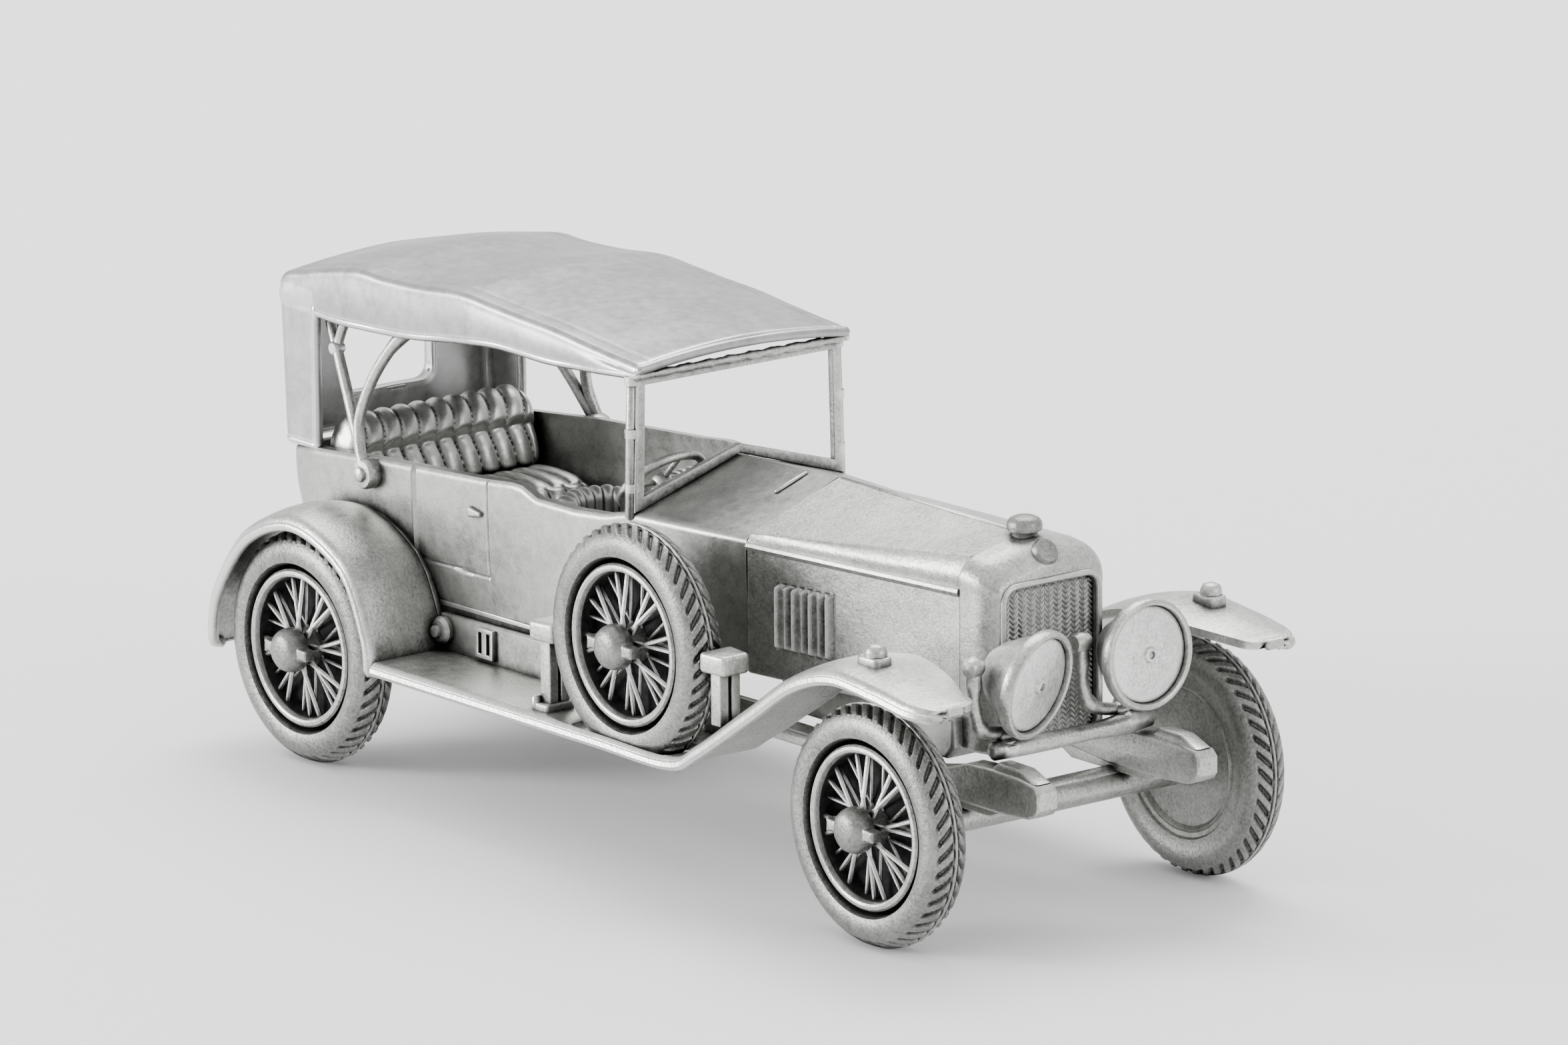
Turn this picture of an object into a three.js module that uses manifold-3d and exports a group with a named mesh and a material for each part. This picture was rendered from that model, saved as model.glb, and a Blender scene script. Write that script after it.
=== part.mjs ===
// A small cast white-metal model of a 1920s open tourer with its hood up and its spare wheel
// carried on the right running board.  Millimetres, +X forward, +Y to the car's left, +Z up.
// Everything is drawn with x = 0 at the front axle and z = 0 on the ground, and the last
// lines bring the middle of the footprint to the origin.
import * as THREE from 'three';
import { mergeVertices } from 'three/addons/utils/BufferGeometryUtils.js';
import Module from 'manifold-3d';

const wasm = await Module();
wasm.setup();

// ---------------------------------------------------------------- driving dimensions
const FIT_GAP = 0.3; // clearance between two castings that are glued or screwed together

const WHEELBASE = 69.4;
const WHEEL_Y = 15.4; // middle plane of a road wheel
const TYRE_RADIUS = 9.17;
const TYRE_SECTION = 1.75; // half the tyre's width
const SIDEWALL = 2.92; // from the tread down to the bright rim ring
const RIM_RADIUS = TYRE_RADIUS - SIDEWALL;
const RIM_RING = 0.65; // width of the ring
const RIM_BORE = RIM_RADIUS - RIM_RING;
const STUB_RADIUS = 0.7; // axle end that a wheel turns on
const STUB_CLEARANCE = 0.2;
const AXLE_RADIUS = 1.2;

const RAIL_Y = 7.7; // middle of a chassis rail
const RAIL_WIDTH = 2.0;
const RAIL_BOTTOM = 10.4;
const RAIL_HEIGHT = 1.2;
const IRON_LENGTH = 10.4; // how far the dumb irons reach ahead of the front axle

const BODY_HALF = 11.0; // half width of the body at the doors
const BODY_WALL = 0.9;
const BODY_TAIL = WHEELBASE + 9.2; // back panel, behind the front axle
const SCREEN_X = 35.5; // windscreen, behind the front axle
const SCREEN_HALF = 10.2;
const SCREEN_TOP = 35.8;
const SCREEN_BAR = 0.8;
const SCUTTLE_X = 23.3; // joint of scuttle and bonnet
const SCUTTLE_HALF = 8.9;
const RIDGE_Z = 28.8; // centre ridge of the bonnet
const RIDGE_FRONT = 28.5; // the ridge falls a little towards the radiator
const SHOULDER_Z = 25.4;
const BONNET_BOTTOM = 15.0;
const NOSE_HALF = 5.9; // half width of the radiator
const RADIATOR_BACK = 1.9; // joint of bonnet and radiator, behind the front axle
const RADIATOR_FRONT = 1.5;
const RADIATOR_BOTTOM = 12.9;

const HOOD_HALF = 10.3;
const HOOD_SKIN = 0.9;
const HOOD_BACK = WHEELBASE + 11.0;
const HOOD_FRONT = 34.8;
const WING_OUTER = WHEEL_Y + 2.9;
const WING_SHEET = 0.7;
const BOARD_TOP = 10.5; // running board
const BOARD_SHEET = 1.2;
const LAMP_RADIUS = 4.15;
const LAMP_LENGTH = 4.5;
const SPARE_X = 27.7; // spare wheel centre, behind the front axle
const SPARE_Z = 17.7;
const SPARE_Y = WHEEL_Y + 0.6;

// ---------------------------------------------------------------- making solids
const V = (x, y, z) => new THREE.Vector3(x, y, z);
const lerp = THREE.MathUtils.lerp;

// Welds a geometry into one shell with its faces pointing out.
function weld(geometry) {
  geometry.deleteAttribute('normal');
  geometry.deleteAttribute('uv');
  const merged = mergeVertices(geometry, 1e-4);
  const p = merged.attributes.position;
  const faces = [];
  const [a, b, c] = [V(), V(), V()];
  let volume = 0;
  for (let i = 0; i < merged.index.count; i += 3) {
    const face = [0, 1, 2].map((k) => merged.index.getX(i + k));
    if (new Set(face).size < 3) continue;
    a.fromBufferAttribute(p, face[0]);
    b.fromBufferAttribute(p, face[1]);
    c.fromBufferAttribute(p, face[2]);
    volume += a.dot(b.cross(c));
    faces.push(face);
  }
  merged.setIndex(faces.flatMap((f) => (volume < 0 ? [f[0], f[2], f[1]] : f)));
  return merged;
}

function toSolid(geometry) {
  const shell = weld(geometry);
  return new wasm.Manifold(new wasm.Mesh({
    numProp: 3,
    vertProperties: new Float32Array(shell.attributes.position.array),
    triVerts: new Uint32Array(shell.index.array),
  }));
}

function toGeometry(solid) {
  const mesh = solid.getMesh();
  const geometry = new THREE.BufferGeometry();
  geometry.setAttribute('position', new THREE.BufferAttribute(mesh.vertProperties, 3));
  geometry.setIndex([...mesh.triVerts]);
  return geometry;
}

const join = (...parts) => toGeometry(parts.map(toSolid).reduce((a, b) => a.add(b)));
const cut = (part, ...tools) =>
  toGeometry(tools.map(toSolid).reduce((a, b) => a.subtract(b), toSolid(part)));

function box(low, high) {
  const size = V(...high).sub(V(...low));
  const middle = V(...high).add(V(...low)).multiplyScalar(0.5);
  return new THREE.BoxGeometry(size.x, size.y, size.z).translate(...middle);
}

// Turns a shape made about the Y axis to stand at a point along a direction.
function stand(geometry, at, direction) {
  const turn = new THREE.Quaternion().setFromUnitVectors(V(0, 1, 0), direction.clone().normalize());
  return geometry.applyQuaternion(turn).translate(at.x, at.y, at.z);
}

function rod(from, to, radius, sides = 12) {
  const run = to.clone().sub(from);
  const middle = from.clone().add(to).multiplyScalar(0.5);
  return stand(new THREE.CylinderGeometry(radius, radius, run.length(), sides), middle, run);
}

const ball = (at, radius) => new THREE.SphereGeometry(radius, 8, 5).translate(at.x, at.y, at.z);

function sweep(points, radius, steps, sides = 6) {
  const section = new THREE.Shape();
  for (let i = 0; i < sides; i += 1) {
    const a = (i * 2 * Math.PI) / sides;
    if (i === 0) section.moveTo(radius, 0);
    else section.lineTo(radius * Math.cos(a), radius * Math.sin(a));
  }
  const extrudePath = new THREE.CatmullRomCurve3(points);
  return new THREE.ExtrudeGeometry(section, { steps, extrudePath, curveSegments: 1 });
}

const lathe = (profile, sides) =>
  new THREE.LatheGeometry(profile.map(([r, y]) => new THREE.Vector2(r, y)), sides);

// A flat outline given a thickness: across the car from x and z, or along it from y and z.
function plateAcross(outline, y0, y1) {
  const shape = new THREE.Shape(outline.map(([x, z]) => new THREE.Vector2(x, z)));
  const plate = new THREE.ExtrudeGeometry(shape, { depth: y1 - y0, bevelEnabled: false });
  return plate.rotateX(Math.PI / 2).translate(0, y1, 0);
}

function plateAlong(shape, x0, x1, bevel = 0) {
  const plate = new THREE.ExtrudeGeometry(shape, {
    depth: x1 - x0 - 2 * bevel,
    bevelEnabled: bevel > 0,
    bevelThickness: bevel,
    bevelSize: bevel,
    bevelOffset: -bevel,
    bevelSegments: 2,
    curveSegments: 5,
  });
  const frame = new THREE.Matrix4().makeBasis(V(0, 1, 0), V(0, 0, 1), V(1, 0, 0));
  return plate.applyMatrix4(frame).translate(x0 + bevel, 0, 0);
}

const outlineShape = (points) => new THREE.Shape(points.map(([y, z]) => new THREE.Vector2(y, z)));

// A solid through sections that follow one another along X, all with the same number of points.
function loft(sections) {
  const area = THREE.ShapeUtils.area(sections[0].map((p) => new THREE.Vector2(p.y, p.z)));
  const rings = sections.map((ring) => (area < 0 ? [...ring].reverse() : ring));
  if (rings[0][0].x > rings[rings.length - 1][0].x) rings.reverse();
  const n = rings[0].length;
  const faces = [];
  for (let i = 0; i + 1 < rings.length; i += 1) {
    for (let k = 0; k < n; k += 1) {
      const [a, b] = [i * n + k, i * n + ((k + 1) % n)];
      faces.push(a, b, b + n, a, b + n, a + n);
    }
  }
  for (const [row, wanted] of [[0, -1], [rings.length - 1, 1]]) {
    const flat = rings[row].map((p) => new THREE.Vector2(p.y, p.z));
    for (const [a, b, c] of THREE.ShapeUtils.triangulateShape(flat, [])) {
      const turn = (flat[b].x - flat[a].x) * (flat[c].y - flat[a].y)
        - (flat[c].x - flat[a].x) * (flat[b].y - flat[a].y);
      const face = turn * wanted > 0 ? [a, b, c] : [a, c, b];
      faces.push(...face.map((k) => row * n + k));
    }
  }
  const geometry = new THREE.BufferGeometry();
  geometry.setAttribute('position', new THREE.Float32BufferAttribute(
    rings.flat().flatMap((p) => [p.x, p.y, p.z]), 3));
  geometry.setIndex(faces);
  return geometry;
}

// A sheet between two grids of points, closed round its rim.
function sheet(top, bottom) {
  const [rows, columns] = [top.length, top[0].length];
  const id = (side, i, j) => (side * rows + i) * columns + j;
  const faces = [];
  const quad = (a, b, c, d) => faces.push(a, b, c, a, c, d);
  for (let i = 0; i + 1 < rows; i += 1) {
    for (let j = 0; j + 1 < columns; j += 1) {
      quad(id(0, i, j), id(0, i + 1, j), id(0, i + 1, j + 1), id(0, i, j + 1));
      quad(id(1, i, j), id(1, i, j + 1), id(1, i + 1, j + 1), id(1, i + 1, j));
    }
    const last = columns - 1;
    quad(id(0, i, 0), id(1, i, 0), id(1, i + 1, 0), id(0, i + 1, 0));
    quad(id(0, i, last), id(0, i + 1, last), id(1, i + 1, last), id(1, i, last));
  }
  for (let j = 0; j + 1 < columns; j += 1) {
    const end = rows - 1;
    quad(id(0, 0, j), id(0, 0, j + 1), id(1, 0, j + 1), id(1, 0, j));
    quad(id(0, end, j), id(1, end, j), id(1, end, j + 1), id(0, end, j + 1));
  }
  const geometry = new THREE.BufferGeometry();
  geometry.setAttribute('position', new THREE.Float32BufferAttribute(
    [...top, ...bottom].flat().flatMap((p) => [p.x, p.y, p.z]), 3));
  geometry.setIndex(faces);
  return geometry;
}

// Smooth rows of numbers through a few chosen rows (Catmull-Rom), `steps` to a span.
function smoothRows(rows, steps) {
  const at = (i) => rows[Math.min(Math.max(i, 0), rows.length - 1)];
  const out = [];
  for (let i = 0; i + 1 < rows.length; i += 1) {
    for (let s = 0; s < steps; s += 1) {
      const t = s / steps;
      out.push(rows[i].map((_, k) => {
        const [p, q, r, w] = [at(i - 1)[k], at(i)[k], at(i + 1)[k], at(i + 2)[k]];
        return 0.5 * (2 * q + (r - p) * t + (2 * p - 5 * q + 4 * r - w) * t * t
          + (3 * q - p - 3 * r + w) * t * t * t);
      }));
    }
  }
  return [...out, rows[rows.length - 1]];
}

// ---------------------------------------------------------------- finishes
const FINISHES = {
  casting: { color: 0xb4b6b1, roughness: 0.45, metalness: 0.85 },
  roof: { color: 0xc0c0bf, roughness: 0.5, metalness: 0.85 },
  tyre: { color: 0xa9aba6, roughness: 0.55, metalness: 0.8 },
  dark: { color: 0x5b5d59, roughness: 0.6, metalness: 0.7 },
};
const car = new THREE.Group();

function add(name, geometry, finish = 'casting') {
  const mesh = new THREE.Mesh(weld(geometry), new THREE.MeshStandardMaterial(FINISHES[finish]));
  mesh.name = name;
  car.add(mesh);
  return mesh;
}
const SIDES = [['right', -1], ['left', 1]];

// ---------------------------------------------------------------- wheels
// Each is drawn about +Y with its outer face towards +Y, then set on its hub.
const DISC_FRONT = -0.95;
const DISC_BACK = -1.5;
const STUB_BORE = STUB_RADIUS + STUB_CLEARANCE;
const INSERT_BACK = DISC_FRONT + FIT_GAP;
const RIM_FACE = 1.47;
const HUB_TOP = 1.6;

function tyreSolid() {
  const seat = RIM_RADIUS + FIT_GAP;
  const middle = TYRE_RADIUS - TYRE_SECTION;
  const profile = [[STUB_BORE, DISC_FRONT], [seat, DISC_FRONT], [seat, 1.2]];
  const bends = 8; // even, so that one ring of points lies on the full radius
  for (let i = 0; i <= bends; i += 1) {
    const a = THREE.MathUtils.degToRad(lerp(112, -112, i / bends));
    profile.push([middle + TYRE_SECTION * Math.cos(a), TYRE_SECTION * Math.sin(a)]);
  }
  profile.push([RIM_RADIUS - 0.3, DISC_BACK], [1.7, DISC_BACK], [1.5, -1.75], [STUB_BORE, -1.75]);
  return lathe([...profile, profile[0]], 24);
}

function insertSolid() {
  return lathe([[0, 0.9], [STUB_BORE, 0.9], [STUB_BORE, INSERT_BACK], [RIM_RADIUS, INSERT_BACK],
    [RIM_RADIUS, RIM_FACE], [RIM_BORE, RIM_FACE], [RIM_BORE, -0.1], [1.4, 0.3], [1.3, HUB_TOP],
    [0, HUB_TOP]], 24);
}

function nutSolid() {
  const foot = HUB_TOP + FIT_GAP;
  const dome = lathe([[0, foot], [1.6, foot], [1.7, foot + 0.5], [1.35, foot + 1.1],
    [0.7, foot + 1.4], [0, foot + 1.47]], 12);
  const ears = box([-2.4, foot, -0.45], [2.4, foot + 0.9, 0.45]);
  return join(dome, ears);
}

function wheel(name, centre, outward) {
  const turned = (geometry) => {
    if (outward < 0) geometry.rotateZ(Math.PI);
    return geometry.translate(centre.x, centre.y, centre.z);
  };
  add(`${name}_tyre`, turned(tyreSolid()), 'tyre');
  add(`${name}_spoke_insert`, turned(insertSolid()));
  add(`${name}_hub_nut`, turned(nutSolid()));
}

for (const [end, x] of [['front', 0], ['rear', -WHEELBASE]]) {
  for (const [side, s] of SIDES) {
    wheel(`${end}_${side}`, V(x, s * WHEEL_Y, TYRE_RADIUS), s);
  }
}
wheel('spare', V(-SPARE_X, -SPARE_Y, SPARE_Z), -1);

// ---------------------------------------------------------------- axles and chassis
const IRON_BOTTOM = RAIL_BOTTOM - 0.4;
const SPRING_GAP = 0.38; // between a dumb iron and the front axle's beam
const STUB_END = WHEEL_Y + 0.6; // inside the blind bore of the spoke insert
const SHOULDER = WHEEL_Y - TYRE_SECTION - FIT_GAP; // the axle's thick part stops clear of the wheel

function axle(name, x, beamZ, radius) {
  const stub = rod(V(x, -STUB_END, TYRE_RADIUS), V(x, STUB_END, TYRE_RADIUS), STUB_RADIUS);
  const beam = rod(V(x, -SHOULDER, beamZ), V(x, SHOULDER, beamZ), radius);
  add(name, join(stub, beam));
}
axle('front_axle', 0, IRON_BOTTOM - SPRING_GAP - AXLE_RADIUS, AXLE_RADIUS);
axle('rear_axle', -WHEELBASE, TYRE_RADIUS, 0.9);

const SCREW_HOLE = 1.1;
const SCREW_X = [-44, 3.4 - WHEELBASE]; // cross members that the body is screwed to
const CROSS_X = [-14, ...SCREW_X];

function chassisSolid() {
  const top = RAIL_BOTTOM + RAIL_HEIGHT;
  const back = -BODY_TAIL + 2;
  const rail = [[back, RAIL_BOTTOM], [-4, RAIL_BOTTOM], [0, IRON_BOTTOM], [6, IRON_BOTTOM],
    [IRON_LENGTH - 1.4, 10.2], [IRON_LENGTH - 0.4, 10.6], [IRON_LENGTH, 11.1], [IRON_LENGTH, 12.4],
    [IRON_LENGTH - 0.5, 12.9], [8, 13.2], [5, 13.25], [2, 13.1], [0, 12.4], [-4, top], [back, top]];
  const parts = [];
  for (const [, s] of SIDES) {
    const y = s * RAIL_Y;
    parts.push(plateAcross(rail, y - RAIL_WIDTH / 2, y + RAIL_WIDTH / 2));
    parts.push(box([-WHEELBASE - 2.4, y - 0.9, 7.4], [-WHEELBASE + 2.4, y + 0.9, RAIL_BOTTOM + 0.2]));
  }
  for (const x of CROSS_X) {
    parts.push(box([x - 2.2, -RAIL_Y, RAIL_BOTTOM], [x + 2.2, RAIL_Y, top]));
  }
  const holes = SCREW_X.map((x) => rod(V(x, 0, 8), V(x, 0, 13), SCREW_HOLE));
  holes.push(rod(V(-WHEELBASE, -12, TYRE_RADIUS), V(-WHEELBASE, 12, TYRE_RADIUS), 0.9 + FIT_GAP));
  return cut(join(...parts), ...holes);
}
add('chassis_frame', chassisSolid());

SCREW_X.forEach((x, i) => {
  const head = RAIL_BOTTOM - FIT_GAP;
  const screw = lathe([[0, head - 1], [1.3, head - 1], [1.7, head - 0.6], [1.7, head],
    [0.8, head], [0.8, head + 3.0], [0, head + 3.2]], 12).rotateX(Math.PI / 2);
  // The profile was turned about Y; it now points along Z.
  add(`base_screw_${i ? 'rear' : 'front'}`, screw.translate(x, 0, 0), 'dark');
});

// ---------------------------------------------------------------- body
// One section: a tub with its widest line at the top, closed by a gable that is flat where
// ridge equals the side height.
function bodySection(x, half, bottom, side, ridge, inset = 0) {
  const w = half - inset;
  const foot = w - 0.7;
  return [V(x, -foot, bottom), V(x, -w, bottom + 4), V(x, -w, side), V(x, 0, ridge),
    V(x, w, side), V(x, w, bottom + 4), V(x, foot, bottom)];
}

const BODY_ROWS = [ // behind the front axle, half width, bottom, side height, ridge
  [BODY_TAIL, 9.7, 16.6, 22.6, 22.6],
  [BODY_TAIL - 2.2, BODY_HALF - 0.6, 12.6, 22.9, 22.9],
  [WHEELBASE - 3.4, BODY_HALF - 0.1, 12.0, 23.9, 23.9],
  [53, BODY_HALF, 12.3, 24.75, 24.75],
  [49.4, BODY_HALF, 12.5, 25.1, 25.1],
  [46.5, BODY_HALF, 12.7, 24.4, 24.4],
  [39, BODY_HALF - 0.4, 13.2, 24.6, 24.6],
  [SCREEN_X + 0.6, SCREEN_HALF + 0.1, 13.6, 25.2, 25.2],
  [SCREEN_X + 0.59, SCREEN_HALF + 0.1, 13.6, 25.2, 28.2],
  [SCUTTLE_X, SCUTTLE_HALF, BONNET_BOTTOM, SHOULDER_Z, RIDGE_Z],
];

function bodySolid() {
  const shell = loft(BODY_ROWS.map(([x, ...row]) => bodySection(-x, ...row)));
  const floor = 14.0;
  const high = 40;
  const hollow = (x, half, top, ridge) => bodySection(-x, half, floor, top, ridge, BODY_WALL);
  const cockpit = loft([
    hollow(BODY_TAIL - 1.6, 10.0, high, high), hollow(WHEELBASE - 3.4, BODY_HALF - 0.1, high, high),
    hollow(46.5, BODY_HALF, high, high), hollow(SCREEN_X + 1.6, SCREEN_HALF + 0.2, high, high),
  ]);
  const footwell = loft([
    hollow(SCREEN_X + 1.7, SCREEN_HALF + 0.2, 24.1, 27.0), hollow(SCUTTLE_X + 1.5, 9.0, 24.3, 27.6),
  ]);
  const screws = SCREW_X.map((x) => rod(V(x, 0, 8), V(x, 0, 16), SCREW_HOLE));
  return cut(shell, cockpit, footwell, ...screws);
}
add('body_tub', bodySolid());

// The bonnet's shoulder is cut back to a shallow flute that opens towards the radiator.
function bonnetSolid() {
  const section = (x, half, fluteY, fluteZ, ridge) => [V(-x, -half, BONNET_BOTTOM), V(-x, -half, SHOULDER_Z),
    V(-x, -fluteY, fluteZ), V(-x, 0, ridge), V(-x, fluteY, fluteZ), V(-x, half, SHOULDER_Z),
    V(-x, half, BONNET_BOTTOM)];
  return loft([
    section(SCUTTLE_X - FIT_GAP, SCUTTLE_HALF, SCUTTLE_HALF - 0.5, SHOULDER_Z + 0.3, RIDGE_Z),
    section(RADIATOR_BACK + FIT_GAP, NOSE_HALF + 0.1, NOSE_HALF - 0.9, 27.3, RIDGE_FRONT),
  ]);
}
add('bonnet', bonnetSolid());

// ---------------------------------------------------------------- radiator
const CORE_HALF = 4.35;
const CORE_TOP = 25.3;
const CORE_FLOOR = RADIATOR_BOTTOM + 0.6;

function coreOutline(inset) {
  const [w, r] = [CORE_HALF - inset, 1.2];
  const outline = new THREE.Shape();
  outline.moveTo(-w, CORE_FLOOR + inset);
  outline.lineTo(w, CORE_FLOOR + inset);
  outline.lineTo(w, CORE_TOP - inset - r);
  outline.quadraticCurveTo(w, CORE_TOP - inset, w - r, CORE_TOP - inset);
  outline.lineTo(r - w, CORE_TOP - inset);
  outline.quadraticCurveTo(-w, CORE_TOP - inset, -w, CORE_TOP - inset - r);
  return outline;
}

// The shell rounds in towards its front face, which is narrower and lower than the bonnet.
function radiatorSolid() {
  const ring = (x, w, side, top) => {
    const peak = RIDGE_FRONT - top;
    const half = [[w, RADIATOR_BOTTOM], [w, SHOULDER_Z - side], [w - 0.35, 26.6 - side],
      [w - 1.1, 27.3 - (side + top) / 2], [1.2, peak - 0.2]];
    const right = half.map(([y, z]) => V(x, -y, z));
    const left = half.map(([y, z]) => V(x, y, z)).reverse();
    return [...right, V(x, 0, peak), ...left];
  };
  const shell = loft([ring(-RADIATOR_BACK, NOSE_HALF, 0, 0), ring(-0.4, NOSE_HALF - 0.05, 0.1, 0.15),
    ring(0.6, NOSE_HALF - 0.35, 0.4, 0.8), ring(RADIATOR_FRONT, CORE_HALF + 0.65, 0.9, 1.6)]);
  const recess = plateAlong(coreOutline(0), RADIATOR_FRONT - 1.2, RADIATOR_FRONT + 1);
  return cut(shell, recess);
}
add('radiator_shell', radiatorSolid());
add('radiator_core', plateAlong(coreOutline(FIT_GAP), RADIATOR_FRONT - 1.2 + FIT_GAP,
  RADIATOR_FRONT - 0.3), 'dark');

const CAP_X = -1.5;
const capFoot = RIDGE_FRONT + 0.1;
add('radiator_cap', lathe([[0, capFoot], [1.3, capFoot], [1.3, capFoot + 0.4], [1.0, capFoot + 0.5],
  [1.0, capFoot + 0.8], [0, capFoot + 1.1]], 14).rotateX(Math.PI / 2).translate(CAP_X, 0, 0));
const badge = lathe([[0, 0], [0.85, 0], [0.85, 0.3], [0, 0.45]], 14);
add('radiator_badge', stand(badge, V(RADIATOR_FRONT - 0.25, 0, 27.75), V(1, 0, 0.9)));

// ---------------------------------------------------------------- windscreen
function screenSolid() {
  const ridge = 28.5;
  const outline = outlineShape([[-SCREEN_HALF, 25.5], [0, ridge], [SCREEN_HALF, 25.5],
    [SCREEN_HALF - 0.4, SCREEN_TOP], [0.4 - SCREEN_HALF, SCREEN_TOP]]);
  const inner = SCREEN_HALF - SCREEN_BAR;
  const glass = [[-inner, 25.5 + 1.1], [0, ridge + 0.8], [inner, 25.5 + 1.1],
    [inner - 0.4, SCREEN_TOP - SCREEN_BAR], [0.4 - inner, SCREEN_TOP - SCREEN_BAR]];
  outline.holes.push(new THREE.Path(glass.map(([y, z]) => new THREE.Vector2(y, z))));
  return plateAlong(outline, -SCREEN_X - 0.4, -SCREEN_X + 0.4);
}
add('windscreen_frame', screenSolid());

// ---------------------------------------------------------------- hood
const QUARTER_X = WHEELBASE + 6.1; // front edge of the quarter panels
const HOOD_ROWS = [ // behind the front axle, roof edge height, lower edge of the side
  [HOOD_BACK, 35.4, 23.2], [HOOD_BACK - 3.2, 36.8, 23.2], [QUARTER_X + 0.01, 37.3, 23.2],
  [QUARTER_X, 37.3, 34.0], [WHEELBASE + 0.3, 38.3, 34.1], [WHEELBASE - 4.4, 38.25, 34.3],
  [WHEELBASE - 12.4, 38.7, 35.1], [49, 38.2, 35.5], [41, 37.5, 35.9],
  [HOOD_FRONT, 36.9, 36.15],
];
const HOOD_CROWN = 0.8;

function hoodSection(x, edge, low, inset) {
  const w = HOOD_HALF - inset;
  const e = edge - inset;
  const half = [[w, low], [w, e - 0.7], [w - 0.35, e - 0.2], [w - 1.1, e], [w * 0.5, e + HOOD_CROWN * 0.75]];
  const right = half.map(([y, z]) => V(x, -y, z));
  const left = half.map(([y, z]) => V(x, y, z)).reverse();
  return [...right, V(x, 0, e + HOOD_CROWN), ...left];
}

function hoodSolid() {
  const outer = loft(HOOD_ROWS.map(([x, edge, low]) => hoodSection(-x, edge, low, 0)));
  const rows = HOOD_ROWS.filter(([x]) => x > HOOD_FRONT + 2 && x < HOOD_BACK - 0.1);
  const inner = [[HOOD_BACK - HOOD_SKIN, 35.8], ...rows, [HOOD_FRONT + 1.4, 36.95]];
  const hollow = loft(inner.map(([x, edge]) => hoodSection(-x, edge, 20, HOOD_SKIN)));
  const pane = box([-HOOD_BACK - 1, -4.3, 25.7], [-HOOD_BACK + 2, 4.3, 33]);
  return cut(outer, hollow, pane);
}
add('hood_canopy', hoodSolid(), 'roof');

const PIVOT = V(2.1 - WHEELBASE, BODY_HALF + FIT_GAP, 22.7);
function hoodIrons(s) {
  const at = (x, y, z) => V(x, s * y, z);
  const hub = PIVOT.y + 0.4;
  const roofY = HOOD_HALF - HOOD_SKIN - 0.4; // the sticks reach up inside the hood's side
  const boss = rod(at(PIVOT.x, PIVOT.y, PIVOT.z), at(PIVOT.x, PIVOT.y + 0.9, PIVOT.z), 1.2);
  const bow = sweep([at(PIVOT.x, hub, PIVOT.z), at(PIVOT.x - 1.2, hub - 0.3, 26),
    at(PIVOT.x + 0.4, hub - 1.1, 30), at(PIVOT.x + 2.7, roofY, 34.4)], 0.42, 8);
  const split = at(PIVOT.x - 6.5, roofY + 0.3, 31.2);
  const arm = sweep([at(PIVOT.x, hub, PIVOT.z), at(PIVOT.x - 3.3, hub - 0.9, 27), split], 0.42, 4);
  const back = sweep([split, at(PIVOT.x - 7.9, roofY, 33.9)], 0.4, 2);
  const front = sweep([split, at(PIVOT.x - 5.1, roofY, 34.2)], 0.4, 2);
  return join(boss, bow, arm, back, front, ball(split, 0.6));
}
for (const [side, s] of SIDES) add(`hood_irons_${side}`, hoodIrons(s));

// ---------------------------------------------------------------- seats and steering
const FLOOR = 14.0 + FIT_GAP;
const SEAT_HALF = HOOD_HALF - HOOD_SKIN - 1.4; // clear of the hood's quarter panels

function seatSolid(back, depth, top, cushionTop, rake) {
  return [[-back, FLOOR], [depth - back, FLOOR], [depth - back, cushionTop - 0.5],
    [depth - back - 0.6, cushionTop], [2.9 - back, cushionTop], [2.5 - back + rake, top - 1.2],
    [1.6 - back + rake, top], [0.4 - back + rake, top], [-back, top - 1.4]];
}
add('rear_seat', plateAcross(seatSolid(BODY_TAIL - 2.2, 12, 25.9, 19.5, 0.6), -SEAT_HALF, SEAT_HALF));
for (const [side, s] of SIDES) {
  const outline = seatSolid(48.6, 7.5, 25.1, 19, 0);
  const [y0, y1] = [s * 5.2 - 3.4, s * 5.2 + 3.4];
  add(`front_seat_${side}`, plateAcross(outline, y0, y1));
}

const STEER = V(-39.2, -4.5, 26.2);
const STEER_AXIS = V(-0.7, 0, 0.7).normalize();
function steeringWheel() {
  const rim = new THREE.TorusGeometry(3.4, 0.38, 6, 20).rotateX(Math.PI / 2);
  const spokes = [0, 1].map((i) => {
    const a = (i * Math.PI) / 2;
    const reach = V(3.4 * Math.cos(a), 0, 3.4 * Math.sin(a));
    return rod(reach.clone().negate(), reach, 0.26, 6);
  });
  const boss = rod(V(0, -0.4, 0), V(0, 0.5, 0), 0.8);
  return stand(join(rim, ...spokes, boss), STEER, STEER_AXIS);
}
add('steering_wheel', steeringWheel());
const columnTop = STEER.clone().addScaledVector(STEER_AXIS, -0.4 - FIT_GAP);
add('steering_column', rod(columnTop, columnTop.clone().addScaledVector(STEER_AXIS, -11), 0.5, 8));

// ---------------------------------------------------------------- wings and running boards
const ACROSS = [0, 0.1, 0.32, 0.6, 0.85, 1];

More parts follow.
